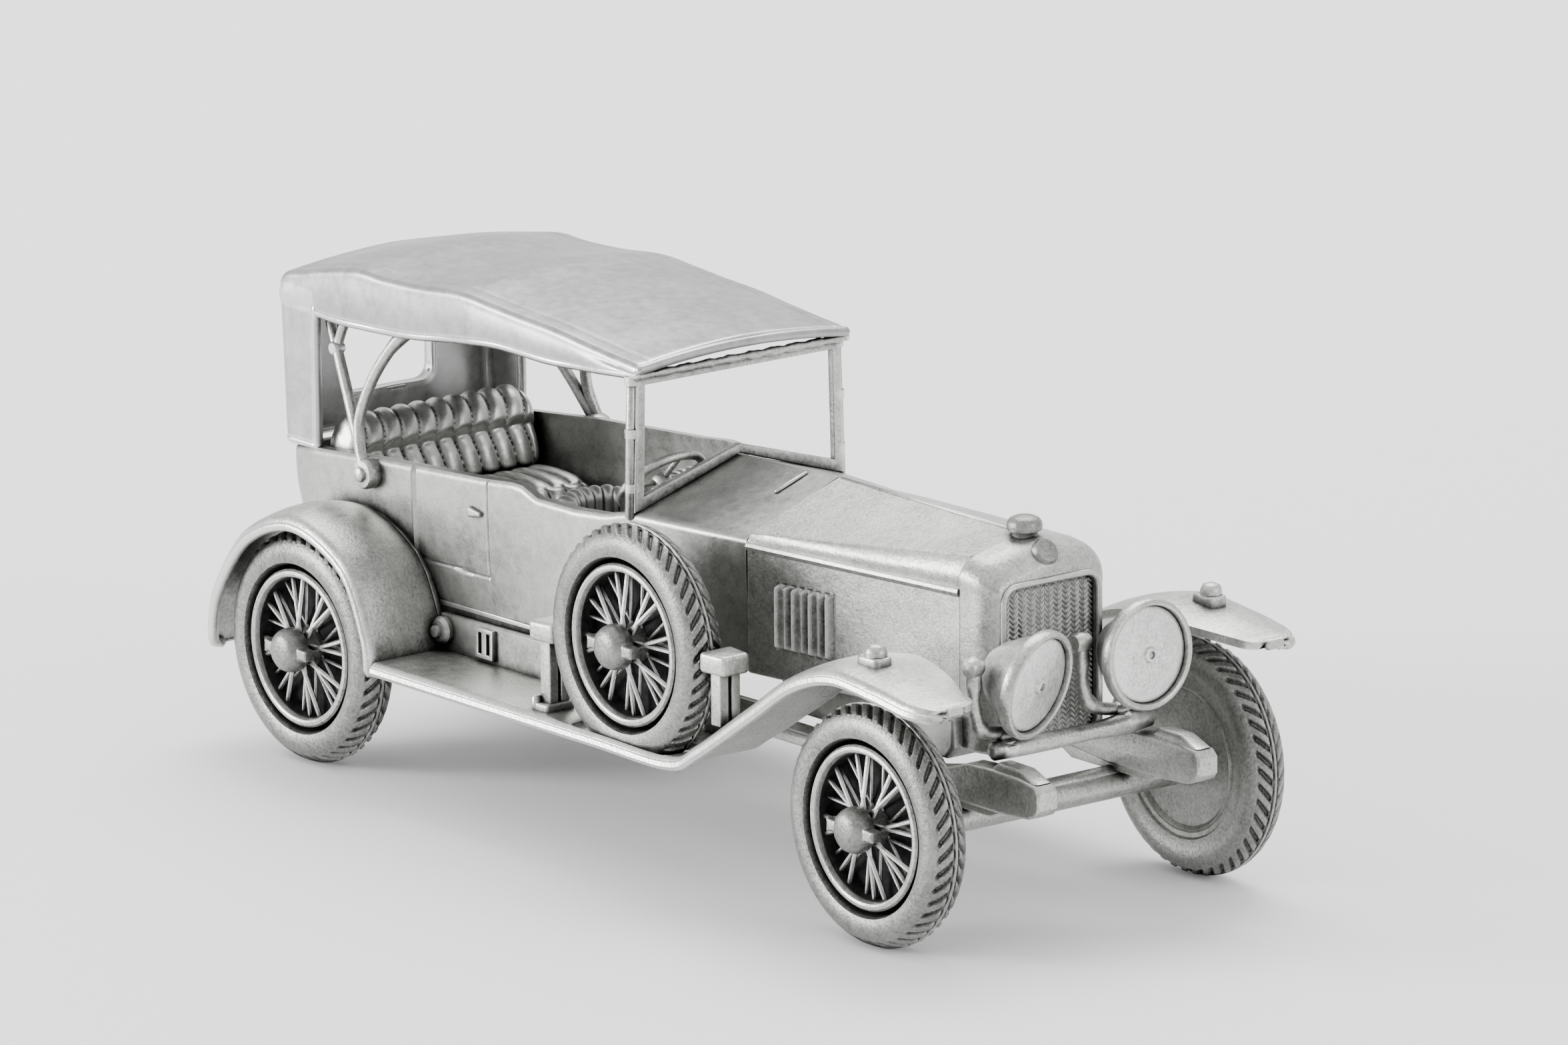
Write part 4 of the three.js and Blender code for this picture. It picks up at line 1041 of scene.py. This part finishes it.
def hood_irons(s):
    px, py, pz = IRON_PIVOT
    bow = smooth_path([(px, py + 0.35, pz), (-68.6, py - 0.1, 26.0), (-67.9, 10.6, 29.4),
                       (-66.2, 9.9, 32.4), (-64.4, 9.0, 34.5)], 6)
    stick = smooth_path([(px - 0.2, py + 0.2, pz), (-70.4, 10.5, 27.0), (-73.8, 9.3, 31.2)], 5)
    prongs = [smooth_path([(-73.8, 9.3, 31.2), (-74.8, 9.1, 32.8), (-75.3, 8.95, 34.4)], 4),
              smooth_path([(-73.8, 9.3, 31.2), (-73.3, 9.1, 32.8), (-72.3, 8.95, 34.6)], 4)]
    parts = []
    for path, radius in ((bow, 0.46), (stick, 0.45), (prongs[0], 0.4), (prongs[1], 0.4)):
        widen = (lambda t: 1.0 + 0.55 * max(0.0, t - 0.75) / 0.25) if path is bow else None
        parts.append(swept("stick", [(x, s * y, z) for x, y, z in path], radius, SANDED, 10, widen))
    disc = [(0.02, -0.8), (1.15, -0.8), (1.22, -0.55), (1.22, 0.35), (1.05, 0.6), (0.62, 0.66),
            (0.55, 0.95), (0.3, 1.08), (0.02, 1.1)]
    parts.append(turned_piece("pivot", disc, 28, (px, s * (py + 0.1), pz), (0, s, 0), SANDED, 40))
    knuckle = [(0.02, -0.5), (0.45, -0.5), (0.62, -0.25), (0.62, 0.25), (0.45, 0.5), (0.02, 0.5)]
    parts.append(turned_piece("knuckle", knuckle, 16, (-73.8, s * 9.3, 31.2), (0, s, 0), SANDED, 50))
    return merged(f"hood_sticks_{'right' if s < 0 else 'left'}", parts)


for side, s in (("right", -1), ("left", 1)):
    fitted(hood_irons(s), "car", "hood_casting", f"hood_irons_{side}")

# ------------------------------------------------------------------ seats
# The seats are cast as buttoned leather: a fat rear roll of slanting pleats over a second
# staggered row, and two front buckets whose backs wrap round with upright pleats.
LEATHER = pewter("cast_pewter_seats", (0.50, 0.50, 0.48), grain=0.3, wash_and_shade=1.0, rough=0.36, reach=0.8)
PLEAT = 1.72


def pleat(across, along, pitch, lean):
    """Height of a stuffed pleat: full in its middle, pinched in the seams and at its ends."""
    part = (across / pitch + lean * along) % 1.0
    fullness = math.sqrt(max(0.0, 1 - (2 * part - 1) ** 2))
    ends = min(1.0, math.sin(math.pi * min(max(along, 0.0), 1.0)) * 1.9) if along <= 1 else 0.0
    return fullness * (0.45 + 0.55 * ends)


def tufted_back(name, half, loop, rows, pitch, fullness):
    """A padded roll carried across the car; loop is its closed section and rows its tufts."""
    section = smooth_path(loop + [loop[0]], 9)[:-1]
    centre = (sum(x for x, _ in section) / len(section), sum(z for _, z in section) / len(section))
    count = len(section)
    rings = []
    stations = 230
    for i in range(stations + 1):
        y = half * (2 * i / stations - 1)
        short = max(0.0, (abs(y) - half + 1.3) / 1.3)
        scale = math.sqrt(max(0.0, 1 - short ** 2)) * 0.92 + 0.08
        ring = []
        for k, (x, z) in enumerate(section):
            t = k / count
            out = Vector((x - centre[0], 0, z - centre[1])).normalized()
            lift = 0.0
            for j, (a, b, lean) in enumerate(rows):
                if a <= t <= b:
                    lift = fullness * pleat(y + pitch * 0.5 * j, (t - a) / (b - a), pitch, lean)
            spot = Vector((centre[0] + (x - centre[0]) * scale, y, centre[1] + (z - centre[1]) * scale))
            ring.append(at(*(spot + out * (lift - fullness) * scale)))
        rings.append(ring)
    return tube_of_rings(name, rings, LEATHER, 70)


def rear_seat():
    back = [(-76.3, 16.0), (-76.5, 20.5), (-76.5, 23.6), (-75.6, 25.1), (-74.1, 25.6), (-72.6, 24.9),
            (-72.0, 23.6), (-72.1, 22.6), (-71.6, 21.4), (-71.3, 19.8), (-71.8, 18.4), (-73.0, 16.0)]
    roll = tufted_back("back_roll", 9.3, back, [(0.24, 0.545, 0.6), (0.545, 0.80, -0.35)], PLEAT, 0.55)
    cushion = [(-72.3, 14.6), (-72.3, 17.6), (-71.6, 19.4), (-69.0, 19.9), (-65.6, 19.7), (-64.3, 18.9),
               (-64.1, 17.0), (-64.2, 14.6)]
    pad = tufted_back("cushion", 9.0, cushion, [(0.2, 0.55, 0.0), (0.55, 0.72, 0.0)], PLEAT, 0.45)
    return merged("buttoned_rear_seat", [roll, pad])


def bucket(name, middle):
    """The back and arms: an upright pad bent round a horseshoe, pleated on its inner side."""
    path = [(-42.6, -3.0), (-44.6, -3.1), (-46.6, -2.75), (-47.7, -1.6), (-48.0, 0.0), (-47.7, 1.6),
            (-46.6, 2.75), (-44.6, 3.1), (-42.6, 3.0)]
    spine = smooth_path(path, 16)
    last = len(spine) - 1
    rings = []
    length = 0.0
    for i, (x, y) in enumerate(spine):
        before, after = spine[max(i - 1, 0)], spine[min(i + 1, last)]
        if i:
            length += math.dist(spine[i - 1], (x, y))
        along = Vector((after[0] - before[0], after[1] - before[1], 0)).normalized()
        out = Vector((-along.y, along.x, 0))
        if out.dot(Vector((x + 44.5, y, 0))) < 0:
            out = -out
        arm = abs(2 * i / last - 1)
        top = 23.9 - 2.6 * max(0.0, arm - 0.35) ** 1.5 / 0.65 ** 1.5
        puff = 0.3 * math.sqrt(max(0.0, 1 - (2 * ((length / 0.98) % 1.0) - 1) ** 2))
        ring = [Vector((x, y, 14.5)) + out * 0.62, Vector((x, y, 19.0)) + out * 0.66]
        for k in range(15):
            a = math.pi * k / 14
            r = 0.72 + puff * min(1.0, k / 5)
            round_over = out * (r * math.cos(a)) + Vector((0, 0, r * math.sin(a)))
            ring.append(Vector((x, y, top - 0.75)) + round_over)
        for k in range(1, 7):
            ring.append(Vector((x, y, top - 0.75 + (14.5 - top + 0.75) * k / 6)) - out * (0.72 + puff))
        rings.append([at(v.x, v.y + middle, v.z) for v in ring])
    back = tube_of_rings("back", rings, LEATHER, 60)
    loop = [(-47.4, 14.5), (-47.4, 18.2), (-46.8, 19.1), (-44.5, 19.4), (-42.2, 19.2),
            (-41.2, 18.5), (-41.1, 14.5)]
    pad = tufted_back("pad", 2.9, loop, [(0.25, 0.75, 0.0)], 1.3, 0.35)
    for vertex in pad.data.vertices:
        vertex.co.y += middle * MM
    return merged(name, [back, pad])


fitted(rear_seat(), "car", "seat_casting", "rear_seat")
for side, s in (("left", 1), ("right", -1)):
    fitted(bucket(f"bucket_seat_{side}", s * 5.2), "car", "seat_casting", f"front_seat_{side}")

# ------------------------------------------------------------------ steering
# A four-spoked wheel on a plain raked column, on the car's right.  The rim is thick for its
# size, as a casting's is, and the column ends out of sight under the scuttle.
STEER = Vector((-39.2, -4.5, 26.2))
STEER_AXIS = Vector((-0.7, 0, 0.7)).normalized()


def steering_wheel():
    radius, thick = 3.4, 0.36
    angles = [math.pi * k / 6 for k in range(12)]
    rim = [(radius + thick * math.cos(a), thick * math.sin(a)) for a in angles]
    parts = [turned_piece("rim", rim, 64, STEER, STEER_AXIS, SANDED, 60)]
    hub = [(0.02, -0.5), (0.8, -0.5), (0.85, 0.1), (0.6, 0.45), (0.02, 0.6)]
    parts.append(turned_piece("hub", hub, 20, STEER, STEER_AXIS, SANDED, 40))
    across = Vector((0, 1, 0)).cross(STEER_AXIS)
    arm = swept("arm", [(0.5, 0, 0), (1.6, 0, 0), (radius, 0, 0)], 0.24, SANDED, 8)
    for vertex in arm.data.vertices:
        vertex.co = vertex.co - AXLE
    arm = repeated(arm, RING, 4, (0.0, 0.0, math.pi / 2), SANDED)
    frame_axes = Matrix((across, Vector((0, 1, 0)), STEER_AXIS)).transposed()
    for vertex in arm.data.vertices:
        vertex.co = frame_axes @ vertex.co + at(*STEER)
    return merged("four_spoke_wheel", parts + [arm])


fitted(steering_wheel(), "car", "body_casting", "steering_wheel")
column_foot = STEER - STEER_AXIS * 11.5
column_line = [tuple(STEER), tuple((STEER + column_foot) / 2), tuple(column_foot)]
fitted(swept("raked_column", column_line, 0.5, SANDED, 14), "car", "body_casting", "steering_column")

# ------------------------------------------------------------------ wings and running boards
# Each front wing and its running board are one thin casting with a rolled outer edge.  The
# right board has a well for the spare, and an apron rises from each board towards the body.
WING_ROWS = [  # x, z, outer and inner edge, crown
    (9.0, 19.75, 16.3, 14.8, 0.0), (8.85, 19.85, 17.1, 14.0, 0.05), (8.3, 19.95, 17.75, 13.2, 0.2),
    (6.6, 20.1, 18.25, 12.7, 0.4), (3.0, 20.6, 18.3, 11.3, 0.5), (-2.0, 20.9, 18.3, 10.3, 0.5),
    (-6.8, 19.4, 18.3, 10.3, 0.5), (-12, 16, 18.3, 10.6, 0.4), (-18.3, 11.9, 18.3, 11.0, 0.1),
    (-21.5, 10.5, 18.3, 11.2, 0.0), (-30, 10.5, 18.3, 11.3, 0.0), (-40, 10.5, 18.3, 11.4, 0.0),
    (-50, 10.5, 18.3, 11.4, 0.0), (-58.0, 10.5, 18.3, 11.4, 0.0)]
REAR_WING_ROWS = [  # the same, from the running board over the wheel
    (-58.2, 9.6, 18.1, 11.2, 0.0), (-58.7, 12.5, 18.1, 11.2, 0.3), (-61.6, 17.5, 18.1, 11.2, 0.6),
    (-68.2, 19.9, 18.1, 11.0, 0.7), (-74.6, 17.8, 18.1, 10.8, 0.6), (-79.1, 12.6, 17.9, 10.8, 0.4),
    (-80.6, 8.4, 17.5, 11.2, 0.25), (-80.8, 7.5, 16.6, 12.2, 0.1)]
WING_SKIN = 0.65


def wing_sheet(name, rows, s, finish):
    """The thin arched sheet along the rows, and the bead on its outer edge and front tip."""
    path = smooth_path(rows, 9)
    across = [0.5 - 0.5 * math.cos(math.pi * k / 26) for k in range(27)]
    top, bottom, edge, tip = [], [], [], []
    for i, (x, z, outer, inner, crown) in enumerate(path):
        before, after = path[max(i - 1, 0)], path[min(i + 1, len(path) - 1)]
        along = Vector((after[0] - before[0], after[1] - before[1]))
        along = along.normalized() if along.length else Vector((-1, 0))
        down = Vector((-along.y, 0, along.x))
        if down.z > 0 and abs(along.x) > 0.5:
            down = -down
        line = []
        for t in across:
            arch = crown * 4 * t * (1 - t)
            roll = 0.35 * max(0.0, 1 - t / 0.06) ** 2
            line.append(Vector((x, s * (outer + (inner - outer) * t), z)) - down * (arch - roll))
        top.append([at(*p) for p in line])
        bottom.append([at(*(p + down * WING_SKIN)) for p in line])
        edge.append(tuple(line[0] + down * (WING_SKIN * 0.5) + Vector((0, -s * 0.25, 0))))
        if i == 0:
            tip = [tuple(p + down * (WING_SKIN * 0.5)) for p in reversed(line[5:])]
    bead = swept("bead", tip + edge, 0.44, finish, 8)
    return wall(name, top, bottom, finish, 45), bead


def wing_board(s):
    sheet, bead = wing_sheet("board", WING_ROWS, s, SANDED)
    parts = [sheet, bead]
    if s < 0:
        x, y, dx, dy = -27.7, -16.0, 6.1, 1.98
        well = rounded([(x - dx, y - dy), (x + dx, y - dy), (x + dx, y + dy), (x - dx, y + dy)], 0.8)
        parts = [cut_away(one, plate("well", [well], 8.0, 13.0, "xyz", SANDED, 0.01)) for one in parts]
    y0, y1 = sorted((s * 10.75, s * 11.35))
    apron = [(-58.2, 9.9), (-22.2, 9.9), (-20.0, 11.2), (-17.5, 13.2), (-17.5, 14.0), (-36, 13.75),
             (-58.2, 13.3)]
    parts.append(plate("apron", [apron], y0, y1, "xzy", BODY, 0.12))
    y0, y1 = sorted((s * 11.2, s * 11.75))
    strap = [(-53.4, 10.8), (-51.2, 10.8), (-51.2, 13.2), (-53.4, 13.2)]
    slots = [[(x, 11.2), (x + 0.4, 11.2), (x + 0.4, 12.85), (x, 12.85)] for x in (-53.0, -52.0)]
    parts.append(plate("strap", [strap, *slots], y0, y1, "xzy", BODY, 0.08))
    boss = [(0.02, -0.4), (1.05, -0.4), (1.1, 0.5), (0.85, 0.8), (0.5, 0.85), (0.45, 1.2), (0.02, 1.25)]
    parts.append(turned_piece("boss", boss, 20, (-57.6, s * 11.3, 12.1), (0, s, 0), BODY, 40))
    for x in (-54.5, -50.0, -39.0, -22.6):
        wedge = [(s * y, z) for y, z in ((18.0, 10.0), (15.4, 10.0), (15.6, 9.3), (17.2, 9.0))]
        parts.append(plate("outrigger", [wedge], x - 1.1, x + 1.1, "yzx", BODY, 0.12))
    return merged(f"front_wing_and_board_{'right' if s < 0 else 'left'}", parts)


def rear_wing(s):
    sheet, bead = wing_sheet("wing", REAR_WING_ROWS, s, SANDED)
    y0, y1 = sorted((s * 10.6, s * 11.1))
    cheek = [(x, z) for x, z, *_ in smooth_path(REAR_WING_ROWS, 3)]
    cheek += [(-78.2, 10.5), (-76.4, 13.6), (-72.6, 16.6), (-68.0, 17.6), (-63.4, 15.6), (-60.6, 11.6)]
    web = plate("web", [cheek], y0, y1, "xzy", BODY, 0.1)
    return merged(f"rear_wing_casting_{'right' if s < 0 else 'left'}", [sheet, bead, web])


for side, s in (("right", -1), ("left", 1)):
    fitted(wing_board(s), "car", "body_casting", f"wing_board_{side}")
    fitted(rear_wing(s), "car", "body_casting", f"rear_wing_{side}")

# ------------------------------------------------------------------ lamps
# Two headlamps sit in forked stands on a bar, each a little askew.  A lamp is a spun-looking
# shell with a heavy rim, a flat blind face and a small pip; the wings carry tiny side lamps.
LAMPS = [{"side": "right", "s": -1, "z": 19.3, "yaw": 17, "pitch": -12, "nub": -0.3},
         {"side": "left", "s": 1, "z": 19.9, "yaw": 2, "pitch": 2, "nub": 1.7}]
LAMP_SHELL = [(0.02, -4.55), (0.9, -4.55), (1.5, -4.3), (2.2, -3.6), (3.0, -2.4), (3.6, -1.25),
              (3.78, -0.95), (4.12, -0.85), (4.22, -0.65), (4.22, -0.12), (4.12, 0.08), (3.92, 0.14),
              (3.74, 0.06), (3.68, -0.12), (3.66, -0.45), (0.02, -0.45)]
LAMP_FACE = [(0.02, -0.42), (3.67, -0.42), (3.6, -0.28), (3.3, -0.2), (0.62, -0.04), (0.52, 0.14),
             (0.3, 0.2), (0.26, 0.06), (0.02, 0.06)]
FACE = pewter("cast_pewter_lamp_face", (0.66, 0.66, 0.64), grain=1.0, wash_and_shade=0.9, rough=0.38, reach=0.45)


def lamp_frame(lamp):
    """A lamp's aim, the middle of its face, its sideways direction and its pivot."""
    yaw, pitch = math.radians(lamp["yaw"]), math.radians(lamp["pitch"])
    aim = Vector((math.cos(pitch) * math.cos(yaw), math.cos(pitch) * math.sin(yaw), math.sin(pitch)))
    face = Vector((6.6, lamp["s"] * 5.3, lamp["z"]))
    across = Vector((-math.sin(yaw), math.cos(yaw), 0))
    return aim, face, across, face - aim * 3.4


def lamp_stand():
    parts = [swept("bar", [(3.9, -7.5, 14.2), (3.9, -5, 14.15), (3.9, -2, 14.1), (3.9, 2, 14.1),
                           (3.9, 5, 14.15), (3.9, 7.5, 14.2)], 0.72, SANDED, 14,
                   lambda t: 1 + 0.12 * math.sin(t * 17) + 0.08 * math.sin(t * 41))]
    reach = 3.75
    for lamp in LAMPS:
        _, _, across, pivot = lamp_frame(lamp)

        def spot(side, up):
            return tuple(pivot + across * side + Vector((0, 0, up)))

        half = [(1.0, 1.3), (1.0, -0.5), (0.95, -2.6), (0.7, -4.0)]
        fork = [spot(-reach * part, up) for part, up in half] + [spot(0, -4.55)]
        fork = smooth_path(fork + [spot(reach * part, up) for part, up in reversed(half)], 6)
        parts.append(swept("fork", fork, 0.52, SANDED, 12,
                           lambda t: 1 + 0.16 * math.sin(t * 23) + 0.1 * math.sin(t * 57 + 1)))
        knob = [(0.02, -0.75), (0.55, -0.75), (0.75, -0.45), (0.78, 0.3), (0.6, 0.7), (0.02, 0.78)]
        for side in (-1, 1):
            place = spot(side * (reach + 0.1), 1.1)
            parts.append(turned_piece("knob", knob, 16, place, tuple(across * side), SANDED, 50))
        foot_y = math.copysign(min(abs(pivot.y), 6.6), pivot.y)
        foot = smooth_path([(3.9, foot_y, 14.1), ((3.9 + pivot.x) / 2, foot_y, 14.7), spot(0, -4.4)], 5)
        parts.append(swept("foot", foot, 0.75, SANDED, 12,
                           lambda t: 1.15 - 0.3 * t + 0.12 * math.sin(t * 19)))
    return merged("lamp_bar_and_forks", parts)


fitted(lamp_stand(), "car", "body_casting", "lamp_bar")
for lamp in LAMPS:
    side = lamp["side"]
    aim, face, _, _ = lamp_frame(lamp)
    shell = turned_piece(f"lamp_shell_{side}", LAMP_SHELL, 96, face, aim, SANDED, 40)
    fitted(shell, "car", "body_casting", f"headlamp_shell_{side}")
    disc = turned_piece(f"lamp_face_{side}", LAMP_FACE, 72, face, aim, FACE, 40)
    fitted(disc, "car", "lamp_face", f"headlamp_lens_{side}")
    x, y, z = lamp["nub"], lamp["s"] * 15.3, 21.4
    pad = rounded([(x - 1.25, y - 0.85), (x + 1.15, y - 0.85), (x + 1.15, y + 0.85),
                   (x - 1.25, y + 0.85)], 0.5)
    button = [(0.02, -0.2), (0.78, -0.2), (0.85, 0.35), (0.7, 0.75), (0.35, 0.92), (0.02, 0.95)]
    nub = [plate("pad", [pad], z - 0.5, z + 0.55, "xyz", SANDED, 0.2),
           turned_piece("button", button, 20, (x + 0.1, y, z + 0.5), (0.12, 0, 1), SANDED, 50)]
    fitted(merged(f"side_lamp_button_{side}", nub), "car", "body_casting", f"side_lamp_{side}")

# ------------------------------------------------------------------ spare wheel brackets
# The spare stands in its well between two cast posts with flat T heads.  The front post starts
# higher up, where the wing has begun to rise, and the rear one has a bolted foot.
SPARE_X = -27.7
POST_REACH = 9.0  # from the spare's middle to a head, just inside the tread
ROW = repeat_tree("row_of_copies", False)


def bracket(front):
    s = 1 if front else -1
    near = SPARE_X + s * POST_REACH
    far = near + s * 2.75
    top = 18.95 if front else 17.4
    foot = 13.4 if front else 10.3
    x0, x1 = min(near, far), max(near, far)
    head = rounded([(x0, -17.3), (x1, -17.0), (x1, -14.5), (x0, -14.2)], 0.45)
    parts = [plate("head", [head], top - 1.55, top, "xyz", SANDED, 0.28)]
    middle = (x0 + x1) / 2
    for dy in (-16.35, -15.25):
        post = rounded([(middle - 0.6, dy - 0.42), (middle + 0.6, dy - 0.42), (middle + 0.6, dy + 0.42),
                        (middle - 0.6, dy + 0.42)], 0.15)
        parts.append(plate("post", [post], foot, top - 0.8, "xyz", SANDED, 0.12))
    # The web between the two posts is painted near-black: partly black wash, partly painted shade.
    web = [(middle - 0.35, -16.4), (middle + 0.35, -16.4), (middle + 0.35, -15.2), (middle - 0.35, -15.2)]
    parts.append(plate("web", [web], foot, top - 0.8, "xyz", DEEP_WASH_AND_SHADE, 0.05))
    if not front:
        pad = rounded([(middle - 1.1, -17.3), (middle + 0.9, -17.3), (middle + 0.9, -14.6),
                       (middle - 1.1, -14.6)], 0.3)
        parts.append(plate("foot", [pad], 10.1, 11.1, "xyz", SANDED, 0.2))
        head = [(0.02, -0.2), (0.42, -0.2), (0.42, 0.3), (0.25, 0.5), (0.02, 0.5)]
        bolt = turned_piece("bolt", head, 12, (0, 0, 0), (0, 0, 1), SANDED, 40)
        for vertex in bolt.data.vertices:
            vertex.co = vertex.co - AXLE
        bolt = repeated(bolt, ROW, 2, (0.0, 2.2 * MM, 0.0), SANDED)
        for vertex in bolt.data.vertices:
            vertex.co = vertex.co + at(middle - 0.75, -17.0, 11.1)
        parts.append(bolt)
    return merged(f"spare_post_{'front' if front else 'rear'}", parts)


fitted(bracket(True), "car", "body_casting", "spare_bracket_front")
fitted(bracket(False), "car", "body_casting", "spare_bracket_rear")

# ------------------------------------------------------------------ chassis and axles
# Two rails joined by cross members, with deep dumb irons in front that take the springs, and
# two plain axles whose thin ends carry the wheels.
WHEELBASE = 69.4
RAIL_Y, RAIL_LOW, RAIL_TOP = 7.7, 10.4, 11.6
CROSS_MEMBERS = (-14, -44, -66)


def chassis():
    tail = -76.6
    rail = [(tail, RAIL_LOW), (-4, RAIL_LOW), (0, 10.0), (6, 10.0), (9.0, 10.2), (10.0, 10.6),
            (10.4, 11.1), (10.4, 12.4), (9.9, 12.9), (8, 13.2), (5, 13.25), (2, 13.1), (0, 12.4),
            (-4, RAIL_TOP), (tail, RAIL_TOP)]
    cap = [(4.0, 12.7), (9.2, 12.6), (9.9, 13.0), (8.0, 13.75), (5.4, 13.8)]
    leaf = [(-4.5, 9.5), (4.5, 9.5), (6.5, 10.3), (-6.5, 10.5)]
    parts = []
    for s in (-1, 1):
        y = s * RAIL_Y
        parts.append(plate("rail", [rail], y - 1.0, y + 1.0, "xzy", SANDED, 0.28))
        parts.append(plate("iron_cap", [cap], y - 0.8, y + 0.8, "xzy", SANDED, 0.3))
        parts.append(plate("front_leaf", [leaf], y - 0.8, y + 0.8, "xzy", SANDED, 0.15))
        pad = [(-71.8, 7.4), (-67.0, 7.4), (-67.0, 10.6), (-71.8, 10.6)]
        parts.append(plate("rear_pad", [rounded(pad, 0.5)], y - 0.9, y + 0.9, "xzy", SANDED, 0.2))
        spring = [(-77.5, 9.9), (-69.4, 8.6), (-61.5, 9.9), (-61.5, 10.6), (-69.4, 9.6), (-77.5, 10.6)]
        parts.append(plate("rear_leaf", [spring], y - 0.85, y + 0.85, "xzy", SANDED, 0.12))
    for x in CROSS_MEMBERS:
        member = [(x - 2.2, -RAIL_Y), (x + 2.2, -RAIL_Y), (x + 2.2, RAIL_Y), (x - 2.2, RAIL_Y)]
        parts.append(plate("cross_member", [rounded(member, 0.4)], RAIL_LOW, RAIL_TOP, "xyz", SANDED, 0.15))
    engine = [(-20.0, 12.2), (-2.5, 12.2), (-1.6, 13.2), (-1.6, 15.4), (-22.8, 15.4)]
    parts.append(plate("engine_tray", [engine], -6.9, 6.9, "xzy", BODY, 0.3))
    return merged("rails_and_irons", parts)


def axle(name, x, beam_z, radius):
    beam = [(x, y, beam_z) for y in (-13.3, -12.6, -8.8, -6.6, 0, 6.6, 8.8, 12.6, 13.3)]
    stub = [(x, y, TYRE_RADIUS) for y in (-15.9, -6, 0, 6, 15.9)]
    collar = [(0.02, -0.9), (1.35, -0.9), (1.5, -0.6), (1.5, 0.3), (0.02, 0.3)]
    parts = [swept("beam", beam, radius, SANDED, 18), swept("stub", stub, 0.7, SANDED, 14)]
    for s in (-1, 1):
        parts.append(turned_piece("collar", collar, 20, (x, s * 13.2, 9.0), (0, s, 0), SANDED, 40))
    return merged(name, parts)


fitted(chassis(), "car", "body_casting", "chassis_frame")
fitted(axle("front_axle_beam", 0, 8.42, 1.15), "car", "body_casting", "front_axle")
fitted(axle("rear_axle_tube", -WHEELBASE, TYRE_RADIUS, 0.9), "car", "body_casting", "rear_axle")

# ------------------------------------------------------------------ base screws
# Two plated screws hold the body to the chassis from below.  They stay the plain pieces of the
# frame, in a bright finish of their own.
PLATED = pewter("zinc_plated_screw", (0.62, 0.62, 0.63), grain=0.2, wash_and_shade=0.7, rough=0.28)
for screw in ("base_screw_front", "base_screw_rear"):
    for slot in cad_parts[screw].material_slots:
        slot.material = PLATED
